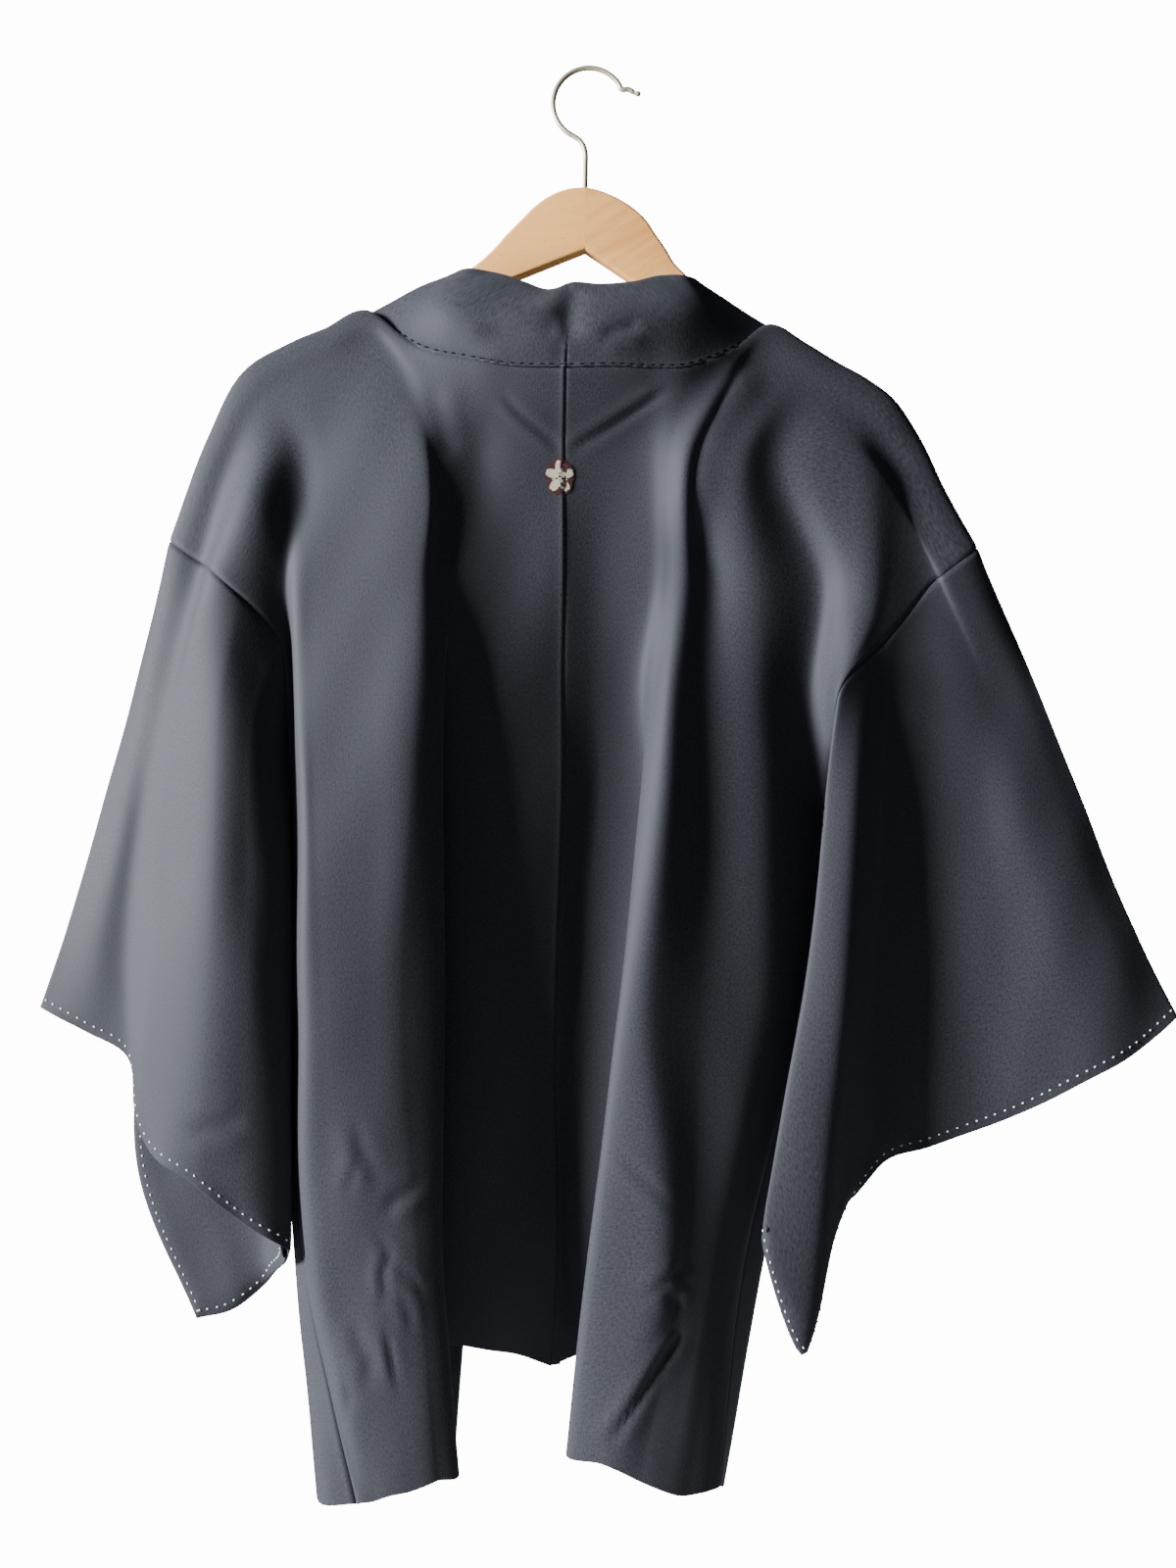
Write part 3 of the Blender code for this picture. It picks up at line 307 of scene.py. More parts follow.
def sleeveGrids(table, tops, seamBack, seamFront, step, rowPlaces):
    lengths = runLengths(seamBack)
    shares = lengths / lengths[-1]

    def onSeam(curve, share):
        return np.array([np.interp(share, shares, curve[:, axis]) for axis in range(3)])

    net = []
    for row, top in zip(table, tops):
        start = np.array(top, float) if isinstance(top, tuple) else onSeam(seamBack, top)
        net.append([start] + [np.array(point, float) for point in row[1:]])
    net = np.array(net)
    knots = meanKnots(net)
    onArmhole = [top for top in tops if not isinstance(top, tuple)]
    seamKnots = knots[: len(onArmhole)]
    across = np.concatenate([np.interp(shares, onArmhole, seamKnots),
                             finePlaces(seamKnots[-1], knots[-1], step, False, True)[1:]])
    down = rowPlaces
    back = clothSurface(net, knots, sleeveLevels, across, down)
    seamCount = len(seamBack)
    fade = np.clip(1.0 - down / sleeveSizes["seamFade"], 0.0, 1.0) ** 2
    error = np.zeros((len(across), 3))
    error[:seamCount] = seamBack - back[:seamCount, 0]
    back += error[:, None, :] * fade[None, :, None]

    # the front layer lies inside the back layer's folds, a small hollow away
    normals = layerNormals(back, ((2, len(down) // 3), (0, 1, 0)))
    around = np.linspace(0.0, 1.0, len(across))[:, None]
    fall = (down / down[-1])[None, :]
    least, more = sleeveSizes["hollow"]
    hollow = least + more * np.sin(math.pi * np.clip(around * 1.5, 0, 1)) * (0.4 + 0.6 * fall)
    hollow = hollow * np.clip(around * 40.0, 0.0, 1.0)
    start = np.zeros((len(across), 3))
    start[:seamCount] = seamFront - seamBack
    start[seamCount:] = start[seamCount - 1]
    ease = eased(np.clip(1.0 - down / sleeveSizes["layerEase"], 0.0, 1.0))[None, :, None]
    front = back + normals * hollow[:, :, None] * (1 - ease) + start[:, None, :] * ease

    # the bottom edge is sewn shut, and so is the cuff below the hand's opening
    rim = runLengths(back[:, -1])
    reach = sleeveSizes["shutReach"]
    pastCuff = np.clip((rim - sleeveSizes["cuffOpening"]) / sleeveSizes["cuffEase"], 0.0, 1.0)
    shutRim = pastCuff[:, None] * np.clip((down - down[-1] + reach) / reach, 0.0, 1.0)[None, :]
    edge = across[-1] - across
    shutEdge = np.clip(1.0 - edge / reach, 0.0, 1.0)[:, None] * np.ones(len(down))[None, :]
    shut = np.maximum(shutRim, shutEdge)
    shut = (1 - np.sqrt(np.clip(1 - shut**2, 0, 1)))[:, :, None]
    middle = (back + front) / 2
    back = back + (middle - back) * shut
    front = front + (middle - front) * shut
    return {"back": back, "front": front, "down": down, "seam": seamCount, "rim": rim, "normals": normals}


def polylineField(x, z, points):
    # signed distance to the nearest stretch of a line, and how far along the line it is
    points = np.array(points, float)
    lengths = np.linalg.norm(np.diff(points, axis=0), axis=1)
    starts = np.concatenate([[0.0], np.cumsum(lengths)])
    best = np.full(x.shape, 1e9)
    signed = np.zeros(x.shape)
    along = np.zeros(x.shape)
    for i in range(len(points) - 1):
        ax, az = points[i]
        dx, dz = (points[i + 1] - points[i]) / lengths[i]
        t = np.clip((x - ax) * dx + (z - az) * dz, 0.0, lengths[i])
        ox, oz = x - ax - t * dx, z - az - t * dz
        distance = np.hypot(ox, oz)
        nearer = distance < best
        best = np.where(nearer, distance, best)
        signed = np.where(nearer, distance * np.sign(ox * dz - oz * dx), signed)
        along = np.where(nearer, (starts[i] + t) / starts[-1], along)
    return best, signed, along


def pushed(grid, normals, amount):
    return grid + normals * amount[..., None]


def addCreases(grid, normals, creases, mask):
    # soft troughs with a lip on one side; each fades out at its ends
    x, z = grid[..., 0], grid[..., 2]
    push = np.zeros(x.shape)
    for name, depth, width, lip, fadeStart, fadeEnd, *points in creases:
        distance, signed, along = polylineField(x, z, points)
        fade = np.clip(along / max(fadeStart, 1e-3), 0, 1) * np.clip((1 - along) / max(fadeEnd, 1e-3), 0, 1)
        fade = eased(fade)
        trough = -depth * np.exp(-(distance / width) ** 2)
        ridge = lip * np.exp(-((signed - 1.7 * width) / (1.5 * width)) ** 2)
        ridge += lip * 0.35 * np.exp(-((signed + 2.2 * width) / (1.8 * width)) ** 2)
        push += (trough + ridge) * fade
    return pushed(grid, normals, push * mask)


def ripple(grid, seed, size):
    # long, uneven waves of under a millimetre, mostly down the cloth
    random = np.random.default_rng(seed)
    x, y, z = grid[..., 0], grid[..., 1], grid[..., 2]
    total = np.zeros(x.shape)
    for _ in range(9):
        waveX = random.uniform(0.05, 0.14) * random.choice((-1, 1))
        waveZ = random.uniform(0.006, 0.05)
        total += random.uniform(0.4, 1.0) * np.sin(waveX * x + waveZ * z + 0.05 * y + random.uniform(0, 6.28))
    return total * size / 3.0


def seamDip(distance, depth, width):
    return -depth * np.exp(-(distance / width) ** 2)


def edgeLengths(grid, axis, end):
    # distance over the cloth from one edge of a grid
    steps = np.linalg.norm(np.diff(grid, axis=axis), axis=2)
    if end:
        steps = np.flip(steps, axis=axis)
    total = np.cumsum(steps, axis=axis)
    zero = np.zeros_like(np.take(total, [0], axis=axis))
    total = np.concatenate([zero, total], axis=axis)
    return np.flip(total, axis=axis) if end else total


def addLayer(mesh, grid, uvOrigin, flip):
    # a grid from Blender's own operator, laid over the worked-out surface
    columns, rows = grid.shape[:2]
    made = bmesh.ops.create_grid(mesh, x_segments=columns - 1, y_segments=rows - 1, size=1.0)["verts"]
    uv = mesh.loops.layers.uv.verify()
    across = runLengths(grid.mean(axis=1))
    down = runLengths(grid.mean(axis=0))
    faces = set()
    for vert in made:
        i = int(round((vert.co.x + 1) / 2 * (columns - 1)))
        j = int(round((vert.co.y + 1) / 2 * (rows - 1)))
        vert.co = grid[i, j] * mm
        for loop in vert.link_loops:
            loop[uv].uv = (uvOrigin[0] + across[i] * mm, uvOrigin[1] - down[j] * mm)
        faces.update(vert.link_faces)
    if flip:
        bmesh.ops.reverse_faces(mesh, faces=list(faces))


def linked(name, data):
    obj = bpy.data.objects.new(name, data)
    bpy.context.scene.collection.objects.link(obj)
    return obj


def smoothData(name, mesh, *materials):
    data = bpy.data.meshes.new(name)
    mesh.to_mesh(data)
    mesh.free()
    data.shade_smooth()
    for material in materials:
        data.materials.append(material)
    return data


def finishSheet(name, mesh, material, thickness, outside):
    bmesh.ops.remove_doubles(mesh, verts=mesh.verts, dist=0.00002)
    bmesh.ops.recalc_face_normals(mesh, faces=mesh.faces)
    mesh.faces.ensure_lookup_table()
    probe = max(mesh.faces, key=lambda face: face.calc_center_median().dot(outside))
    if probe.normal.dot(outside) < 0:
        bmesh.ops.reverse_faces(mesh, faces=mesh.faces)
    obj = linked(name, smoothData(name, mesh, material))
    wall = obj.modifiers.new("wall", "SOLIDIFY")
    wall.thickness = thickness
    wall.offset = 0.0
    return obj


# ---- surfaces worked out once, in millimetres; walls are in metres ----
bodySizes = {
    "step": 3.4,            # spacing of the cloth's points
    "wall": 0.0013,
    "seamDepth": 1.1,
    "seamWidth": 1.5,
    "rippleSize": 0.5,
    "rippleSeed": {"left": 3, "right": 8, "front": 5},
    "turnedIn": ((0, 1.5), (3, 2.2), (5, 2.4)),    # column of the right length, how far behind it
}
sleeveSizes = {
    "step": 3.6,
    "wall": 0.0013,
    "rippleSize": 0.55,
    "rippleSeed": {"left": 13, "right": 21},
    "hollow": (6.5, 6.0),   # room between the layers at least, and how much it grows
    "layerRoom": 2.2,       # least room where folds pinch the right sleeve
    "seamFade": 120.0,      # how far below the armhole the sleeve is drawn to the seam
    "layerEase": 150.0,     # how far below it the front layer reaches its full depth
    "cuffOpening": 230.0,
    "cuffEase": 25.0,       # length of rim over which the cuff closes
    "shutReach": 14.0,      # how far in from a sewn edge the layers draw together
}
collarSizes = {
    "wall": 0.0011,
    "frontRun": 790.0,
    "neckRun": 140.0,
    "stitchPitch": 6.6,
    "stitchDepth": 0.8,
    "foldRadius": 1.2,
    "foldTuck": 14.0,
}

bodies = {
    "left": bodyGrids(backLeft, frontLeft, neckLine["left"], bodySizes["step"]),
    "right": bodyGrids(backRight, frontRight, neckLine["right"], bodySizes["step"]),
}
sleeveRows = finePlaces(0.0, sleeveLevels[-1], sleeveSizes["step"], True, True)
sleeves = {}
for side, table, tops in (("left", sleeveLeft, sleeveLeftTop), ("right", sleeveRight, sleeveRightTop)):
    body = bodies[side]
    last = int(np.searchsorted(body["down"], armholeLevel)) + 1
    sleeves[side] = sleeveGrids(table, tops, body["back"][-1, :last], body["front"][-1, :last],
                                sleeveSizes["step"], sleeveRows)
    body["armholeEnd"] = last - 1
print("surfaces worked out")

# ---- crepe, thread, wood and metal ----

class Value:
    # wraps a socket, so that maths on a pattern reads as maths
    def __init__(self, maker, socket):
        self.maker, self.socket = maker, socket

    def math(self, operation, other, swap=False):
        inputs = (other, self) if swap else (self, other)
        return self.maker.node("ShaderNodeMath", {"operation": operation}, {0: inputs[0], 1: inputs[1]})

    def __add__(self, other): return self.math("ADD", other)
    def __radd__(self, other): return self.math("ADD", other, True)
    def __mul__(self, other): return self.math("MULTIPLY", other)


class MaterialMaker:
    def __init__(self, name, **fixed):
        self.material = bpy.data.materials.new(name)
        self.material.use_nodes = True
        self.tree = self.material.node_tree
        self.shader = self.tree.nodes["Principled BSDF"]
        for socket, value in fixed.items():
            self.shader.inputs[socket.replace("_", " ")].default_value = value
        self.material.diffuse_color = self.shader.inputs["Base Color"].default_value

    def node(self, kind, settings=None, sockets=None, output=0):
        made = self.tree.nodes.new(kind)
        for name, value in (settings or {}).items():
            if name == "stops":
                ramp = made.color_ramp
                while len(ramp.elements) < len(value):
                    ramp.elements.new(0.5)
                for element, (place, colour) in zip(ramp.elements, value):
                    element.position, element.color = place, colour
            else:
                setattr(made, name, value)
        for name, value in (sockets or {}).items():
            if isinstance(value, Value):
                self.tree.links.new(value.socket, made.inputs[name])
            else:
                made.inputs[name].default_value = value
        return Value(self, made.outputs[output])

    def objectPlace(self):
        return self.node("ShaderNodeTexCoord", output=3)

    def clothPlace(self):
        return self.node("ShaderNodeUVMap")

    def scaled(self, place, scale):
        return self.node("ShaderNodeMapping", {}, {"Vector": place, "Scale": scale})

    def noise(self, place, scale, detail=2.0, roughness=0.5):
        sockets = {"Vector": place, "Scale": scale, "Detail": detail, "Roughness": roughness}
        return self.node("ShaderNodeTexNoise", {}, sockets)

    def spread(self, value, low, high, most=1.0):
        # low to high becomes 0 to most
        return self.node("ShaderNodeMapRange", {}, {"Value": value, 1: low, 2: high, 3: 0.0, 4: most})

    def blend(self, factor, first, last, places=(0.0, 1.0)):
        stops = ((places[0], first), (places[1], last))
        return self.node("ShaderNodeValToRGB", {"stops": stops}, {"Fac": factor})

    def feed(self, **values):
        for name, value in values.items():
            self.tree.links.new(value.socket, self.shader.inputs[name.replace("_", " ")])

    def bump(self, height, strength, distance, before=None):
        sockets = {"Height": height, "Strength": strength, "Distance": distance}
        if before is not None:
            sockets["Normal"] = before
        return self.node("ShaderNodeBump", {}, sockets)


crepeLook = {
    "dark": (0.0105, 0.0101, 0.0132, 1.0),
    "light": (0.0335, 0.0326, 0.0415, 1.0),
    "sheen": (0.75, 0.82, 0.95, 1.0),
    "roughness": (0.64, 0.80),
    "grain": 1050.0,        # scale of the pebbled grain, per metre
    "grainDepth": 0.00032,
}


def makeCrepe(name):
    make = MaterialMaker(name, Base_Color=crepeLook["dark"], Roughness=0.8, Sheen_Weight=0.08,
                         Sheen_Roughness=0.5, Sheen_Tint=crepeLook["sheen"], Specular_IOR_Level=0.32)
    place, grain = make.clothPlace(), crepeLook["grain"]
    # pebbled grain, a little longer down the cloth than across it
    pebbles = make.noise(make.scaled(place, (grain, grain * 0.45, 1.0)), 1.0, 3.0, 0.6)
    specks = make.noise(make.scaled(place, (grain * 0.8, grain * 0.7, 1.0)), 1.0, 1.0, 0.5)
    wear = make.noise(make.scaled(place, (9.0, 4.0, 1.0)), 1.0, 3.0, 0.55)
    shade = make.spread(pebbles * 0.55 + specks * 0.35 + wear * 0.10, 0.36, 0.64)
    colour = make.blend(shade, crepeLook["dark"], crepeLook["light"])
    low, high = crepeLook["roughness"]
    make.feed(Base_Color=colour, Roughness=low + shade * (high - low),
              Normal=make.bump(pebbles * 0.7 + specks * 0.3, 0.55, crepeLook["grainDepth"]))
    return make.material


crepe = makeCrepe("black silk crepe")
# black, matt thread for the collar seam: real stitches, made darker than the cloth and without shine so that
# the beads also stand in for the shadows of the stitched pinches (painted shade)
seamThreadShadow = MaterialMaker("black thread and painted stitch shadow", Base_Color=(0.002, 0.002, 0.003, 1.0), Roughness=1.0,
                           Specular_IOR_Level=0.0).material
basteThread = MaterialMaker("white basting thread", Base_Color=(0.85, 0.87, 0.88, 1.0),
                            Roughness=0.6).material


def makeSilk(name, colour, deep):
    # fine dyed silk with the crepe's grain showing through
    make = MaterialMaker(name, Base_Color=colour, Roughness=0.7, Specular_IOR_Level=0.3)
    grain = make.noise(make.scaled(make.objectPlace(), (1500.0, 1500.0, 900.0)), 1.0, 3.0, 0.6)
    shade = make.spread(grain, 0.35, 0.65)
    make.feed(Base_Color=make.blend(shade, deep, colour), Normal=make.bump(grain, 0.6, 0.0002))
    return make.material


crestGround = makeSilk("wine ground", (0.075, 0.018, 0.016, 1.0), (0.030, 0.008, 0.009, 1.0))
crestPetal = makeSilk("cream petals", (0.62, 0.56, 0.42, 1.0), (0.36, 0.31, 0.22, 1.0))

beechLook = {
    "pale": (0.95, 0.46, 0.135, 1.0),
    "streak": (0.80, 0.34, 0.090, 1.0),
    "fleck": (0.55, 0.21, 0.055, 1.0),
    "roughness": (0.42, 0.58),
}


def makeBeech(name, turn, streaks):
    # grain runs along the arm; streaks: how much a darker slanting figure shows
    make = MaterialMaker(name, Base_Color=beechLook["pale"], Roughness=0.5, Specular_IOR_Level=0.25)
    turned = {"Vector": make.objectPlace(), "Rotation": (0.0, math.radians(turn), 0.0)}
    place = make.node("ShaderNodeMapping", {}, turned)
    fine = make.noise(make.scaled(place, (90.0, 700.0, 1400.0)), 1.0, 4.0, 0.6)
    broad = make.noise(make.scaled(place, (14.0, 60.0, 150.0)), 1.0, 3.0, 0.5)
    fleck = make.noise(make.scaled(place, (260.0, 400.0, 2200.0)), 1.0, 1.0, 0.4)
    figure = make.spread(broad, 0.42, 0.66)
    tone = fine * 0.35 + figure * (0.12 + 0.5 * streaks)
    colour = make.blend(tone, beechLook["pale"], beechLook["streak"], (0.1, 0.75))
    spots = make.spread(fleck, 0.62, 0.72, 0.55)
    mixed = make.node("ShaderNodeMix", {"data_type": "RGBA"}, {0: spots, 6: colour, 7: beechLook["fleck"]}, 2)
    low, high = beechLook["roughness"]
    make.feed(Base_Color=mixed, Roughness=low + fine * (high - low),
              Normal=make.bump(fine * 0.7 + fleck * 0.3, 0.25, 0.0003))
    return make.material


nickelLook = {"colour": (0.62, 0.53, 0.36, 1.0), "metallic": 0.75}


def makeNickel():
    # champagne nickel wire with fine drawing lines
    make = MaterialMaker("brushed nickel", Base_Color=nickelLook["colour"], Metallic=nickelLook["metallic"],
                         Roughness=0.45)
    lines = make.noise(make.scaled(make.objectPlace(), (900.0, 2600.0, 900.0)), 1.0, 3.0, 0.6)
    wear = make.noise(make.objectPlace(), 160.0, 2.0, 0.5)
    make.feed(Roughness=0.36 + lines * 0.18 + wear * 0.08, Normal=make.bump(lines, 0.2, 0.0001))
    return make.material


nickel = makeNickel()
print("materials made")

# ---- creases: name, depth, width, lip, fade at each end, then (x, z) points, in millimetres ----
# a depth below zero makes a ridge
backCreases = {
    "left": {
        "fold": (
            ("hem groove", 1.2, 2.4, 0.7, 0.35, 0.45, (-128, -817), (-124, -833), (-121, -847), (-116, -861)),
            ("hollow", 1.2, 4.0, 0.9, 0.3, 0.5, (-130, -753), (-121, -743), (-113, -739), (-100, -731)),
            ("crumple", 1.0, 2.6, 0.9, 0.35, 0.35,
             (-137, -759), (-129, -769), (-125, -777), (-129, -787), (-127, -800), (-133, -812)),
            ("crumple side", 0.7, 2.4, 0.6, 0.3, 0.4, (-125, -777), (-118, -786), (-109, -793), (-101, -806)),
            ("short nick", 0.7, 2.6, 0.6, 0.4, 0.4, (-119, -800), (-113, -811), (-110, -825)),
            ("soft hollow", 0.9, 5.0, 0.8, 0.3, 0.4, (-149, -813), (-143, -829), (-136, -841), (-139, -864)),
            ("hem wave", 0.7, 3.6, 0.7, 0.3, 0.4, (-157, -845), (-149, -861), (-151, -882)),
            ("upper hollow", 0.9, 4.5, 0.6, 0.4, 0.4, (-149, -687), (-143, -708), (-136, -724), (-128, -737)),
            ("upper nick", 0.6, 3.2, 0.5, 0.4, 0.4, (-143, -708), (-147, -725), (-153, -743)),
        ),
        "yoke": (
            ("pull to the left", 1.0, 2.6, 0.6, 0.3, 0.15, (-60, -225), (-41, -241), (-18, -259)),
            ("fold start", 1.3, 8.0, 0.3, 0.3, 0.2, (-105, -213), (-97, -238), (-91, -270)),
        ),
    },
    "right": {
        "fold": (
            ("long diagonal", 1.9, 3.0, 1.3, 0.15, 0.2, (61, -821), (43, -844), (28, -867), (10, -893)),
            ("upper line", 1.1, 2.8, 0.9, 0.25, 0.3, (16, -710), (31, -724), (43, -737), (55, -744)),
            ("side line", 1.1, 2.8, 0.9, 0.15, 0.4, (59, -784), (46, -792), (32, -802)),
            ("low line", 0.8, 3.2, 0.7, 0.25, 0.4, (60, -812), (53, -802), (43, -792)),
        ),
        "yoke": (
            ("pull to the right", 1.1, 2.8, 0.7, 0.3, 0.15, (58, -219), (23, -240), (-14, -262)),
            ("slack by the shoulder", -5.0, 14.0, 0.0, 0.2, 0.35,
             (110, -195), (100, -219), (85, -242), (75, -269), (69, -299), (66, -331)),
        ),
    },
}
sleeveCreases = {
    "left": (
        ("elbow line", 1.5, 5.0, 0.8, 0.35, 0.35, (-257, -701), (-236, -698), (-213, -694)),
    ),
    "right": (),
}
collarCreases = (
    ("neck fold", 2.4, 8.0, 0.6, 0.05, 0.25, (-9, -153), (-12, -174), (-13, -197)),
    ("lower trough", 2.6, 7.0, 0.9, 0.35, 0.15, (-76, -186), (-48, -187), (-17, -186)),
    ("right nick", 2.0, 4.5, 0.8, 0.3, 0.3, (6, -190), (22, -186), (37, -182)),
)

# ---- the two body lengths ----

def bodyShape(side):
    body = bodies[side]
    back, front = body["back"], body["front"]
    backNormals = layerNormals(back, ((10, 60), (0, -1, 0)))
    frontNormals = layerNormals(front, ((len(front) // 2, 60), (0, 1, 0)))
    creases, seeds = backCreases[side], bodySizes["rippleSeed"]
    outerFolds = np.clip((-back[..., 1] - 40.0) / 12.0, 0.0, 1.0)
    yoke = np.clip((back[..., 2] + 400.0) / 40.0, 0.0, 1.0)
    fade = np.clip(body["down"] / 60.0, 0, 1)[None, :]
    back = addCreases(back, backNormals, creases["fold"], outerFolds)
    back = addCreases(back, backNormals, creases["yoke"], yoke)
    size = bodySizes["rippleSize"]
    back = pushed(back, backNormals, ripple(back, seeds[side], size) * fade)
    front = pushed(front, frontNormals, ripple(front, seeds["front"], size * 1.5) * fade)

    # edges sink where a seam is sewn; the left length overlaps the right at the centre
    depth, width = bodySizes["seamDepth"], bodySizes["seamWidth"]
    centre = edgeLengths(back, 0, False)
    if side == "left":
        lap = 0.55 * np.exp(-(centre / 2.2) ** 2) - 0.6 * np.exp(-(centre / 0.6) ** 2)
        back = pushed(back, backNormals, lap)
    else:
        back = pushed(back, backNormals, seamDip(centre, 0.9, 1.2))
    back = pushed(back, backNormals, seamDip(edgeLengths(back, 0, True), depth, width))
    front = pushed(front, frontNormals, seamDip(edgeLengths(front, 0, True), depth, width))
    neck = seamDip(edgeLengths(back, 1, False), 1.3, 2.2) * (np.arange(len(back)) <= body["first"])[:, None]
    back = pushed(back, backNormals, neck)
    front = pushed(front, frontNormals, seamDip(edgeLengths(front, 0, False), 1.2, 2.0))
    front[:, 0] = back[body["first"]:, 0]
    body["shapedBack"], body["shapedFront"] = back, front


def seamAllowance():
    # the left length's edge is turned in behind the right one, so no light shows through the centre seam
    edge, right = bodies["left"]["shapedBack"][0], bodies["right"]["shapedBack"]
    outward = layerNormals(right, ((10, 60), (0, -1, 0)))
    strips = [edge]
    for column, deep in bodySizes["turnedIn"]:
        inside = right[column] - outward[column] * deep
        inside = inside[np.argsort(inside[:, 2])]
        strip = edge.copy()
        for axis in (0, 1):
            strip[:, axis] = np.interp(edge[:, 2], inside[:, 2], inside[:, axis])
        strips.append(strip)
    return np.stack(strips)


def makeBody(side):
    body = bodies[side]
    mesh = bmesh.new()
    addLayer(mesh, body["shapedBack"], (0.0, 0.0), False)
    addLayer(mesh, body["shapedFront"], (1.0, 0.0), True)
    if side == "left":
        addLayer(mesh, seamAllowance(), (2.0, 0.0), False)
    piece = finishSheet("body_" + side + "_cloth", mesh, crepe, bodySizes["wall"], Vector((0, -1, 0)))
    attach(piece, "root")
    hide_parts("body_" + side)
    "hanger_arm_" + side
    return piece


for side in ("left", "right"):
    bodyShape(side)
for side in ("left", "right"):
    makeBody(side)
print("body lengths made")

# ---- sleeves ----

basting = {
    "pitch": 6.5,
    "inset": 6.0,           # distance from the rim
    "length": 0.95,
    "width": 0.62,
    "proud": 0.75,
    "edgeFrom": 20.0,       # the line up the bottom edge stops this far below the armhole
}
beadDepth = 0.45


def stitchLine(mesh, line, outward, look=basting):
    # short stitches along a line of the cloth, each a small flattened bead
    lengths = runLengths(line)
    random = np.random.default_rng(len(line))
    places = np.arange(2.0, lengths[-1] - 2.0, look["pitch"])
    places = places + random.uniform(-0.5, 0.5, len(places))
    for place in places:
        point = np.array([np.interp(place, lengths, line[:, axis]) for axis in range(3)])
        ahead = np.array([np.interp(place + 1.0, lengths, line[:, axis]) for axis in range(3)])
        out = unitVectors(np.array([np.interp(place, lengths, outward[:, axis]) for axis in range(3)]))
        along = unitVectors(ahead - point)
        side = np.cross(out, along)
        bead = Matrix((along, side, out)).transposed().to_4x4()
        bead.translation = Vector((point + out * look["proud"]) * mm)
        size = Matrix.Diagonal((look["length"] * mm, look["width"] * mm, beadDepth * mm, 1.0))
        bmesh.ops.create_uvsphere(mesh, u_segments=6, v_segments=4, radius=1.0, matrix=bead @ size)


def insideLine(grid, normals):
    # the line of a grid that lies a basting's inset from the rim
    away = edgeLengths(grid, 1, True)
    line, out = [], []
    for points, distances, ways in zip(grid, away, normals):
        line.append([np.interp(basting["inset"], distances[::-1], points[::-1, axis]) for axis in range(3)])
        out.append([np.interp(basting["inset"], distances[::-1], ways[::-1, axis]) for axis in range(3)])
    return np.array(line), np.array(out)


def finishThreads(name, mesh, material):
    threads = linked(name, smoothData(name, mesh, material))
    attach(threads, "root")
    return threads


def bastings(side):
    # hems of both layers, along the sleeve's rim and up its bottom edge
    sleeve = sleeves[side]
    mesh = bmesh.new()
    for grid, sign in ((sleeve["shapedBack"], -1.0), (sleeve["shapedFront"], 1.0)):
        normals = layerNormals(grid, ((2, len(grid[0]) // 3), (0, sign, 0)))
        stitchLine(mesh, *insideLine(grid, normals))
        turned, turnedNormals = grid.transpose(1, 0, 2), normals.transpose(1, 0, 2)
        line, out = insideLine(turned, turnedNormals)
        shown = sleeve["down"] > basting["edgeFrom"]
        stitchLine(mesh, line[shown], out[shown])
    return finishThreads("basting_" + side, mesh, basteThread)


def keptBehind(front, back):
    # the far layer stays clear of the near one where the folds pinch the sleeve
    index = np.arange(back.shape[0] * back.shape[1]).reshape(back.shape[:2])
    faces = np.stack([index[:-1, :-1], index[1:, :-1], index[1:, 1:], index[:-1, 1:]], axis=-1).reshape(-1, 4)
    tree = BVHTree.FromPolygons([Vector(p) for p in back.reshape(-1, 3)], faces.tolist())
    fromFold = np.minimum(edgeLengths(front, 0, False), edgeLengths(front, 0, True))
    room = np.clip(np.minimum(fromFold, edgeLengths(front, 1, False)) * 0.8, 0.0, sleeveSizes["layerRoom"])
    front = front.copy()
    for i, j in np.ndindex(front.shape[0], front.shape[1]):
        x, y, z = front[i, j]
        place = tree.ray_cast(Vector((x, -300.0, z)), Vector((0.0, 1.0, 0.0)))[0]
        if place is not None:
            front[i, j, 1] = max(y, place.y + room[i, j])
    return front


def makeSleeve(side):
    sleeve = sleeves[side]
    inward = sleeve["normals"]
    back, front = sleeve["back"], sleeve["front"]
    calm = np.clip(sleeve["down"] / 40.0, 0, 1)[None, :]
    visible = (back[..., 1] < -4.0).astype(float)
    wave = (ripple(back, sleeveSizes["rippleSeed"][side], sleeveSizes["rippleSize"]) * calm)[..., None]
    back = addCreases(back, -inward, sleeveCreases[side], visible)
    back, front = back - inward * wave, front - inward * wave
    # the armhole edge sinks into its seam
    seam = np.zeros(back.shape[:2])
    seam[: sleeve["seam"]] = 1.0
    dip = (seamDip(edgeLengths(back, 1, False), 1.0, 1.6) * seam)[..., None]
    back, front = back - inward * dip, front + inward * dip
    # stitches pinch the hem a little, so the edge waves
    rim = sleeve["rim"][:, None]
    nearRim = np.exp(-((sleeve["down"][-1] - sleeve["down"]) / 7.0) ** 2)[None, :]
    wavy = (0.5 * np.sin(rim / 7.1) + 0.4 * np.sin(rim / 13.0 + 1.0)) * nearRim
    back, front = back - inward * wavy[..., None], front - inward * wavy[..., None]
    if side == "right":
        front = keptBehind(front, back)
    top = (back[0] + front[0]) / 2
    back[0] = front[0] = top
    sleeve["shapedBack"], sleeve["shapedFront"] = back, front
    mesh = bmesh.new()
    addLayer(mesh, back, (0.0, 0.0), False)
    addLayer(mesh, front, (1.0, 0.0), True)
    piece = finishSheet("sleeve_" + side + "_cloth", mesh, crepe, sleeveSizes["wall"], Vector((0, -1, 0)))
    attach(piece, "root")
    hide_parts("sleeve_" + side)
    threads = bastings(side)
    "body_" + side + "_cloth"
    return piece


for side in ("left", "right"):
    makeSleeve(side)
print("sleeves made")

# ---- gussets between the back's and the front's side edges ----

gussetMiddles = {"left": gussetLeft, "right": gussetRight}


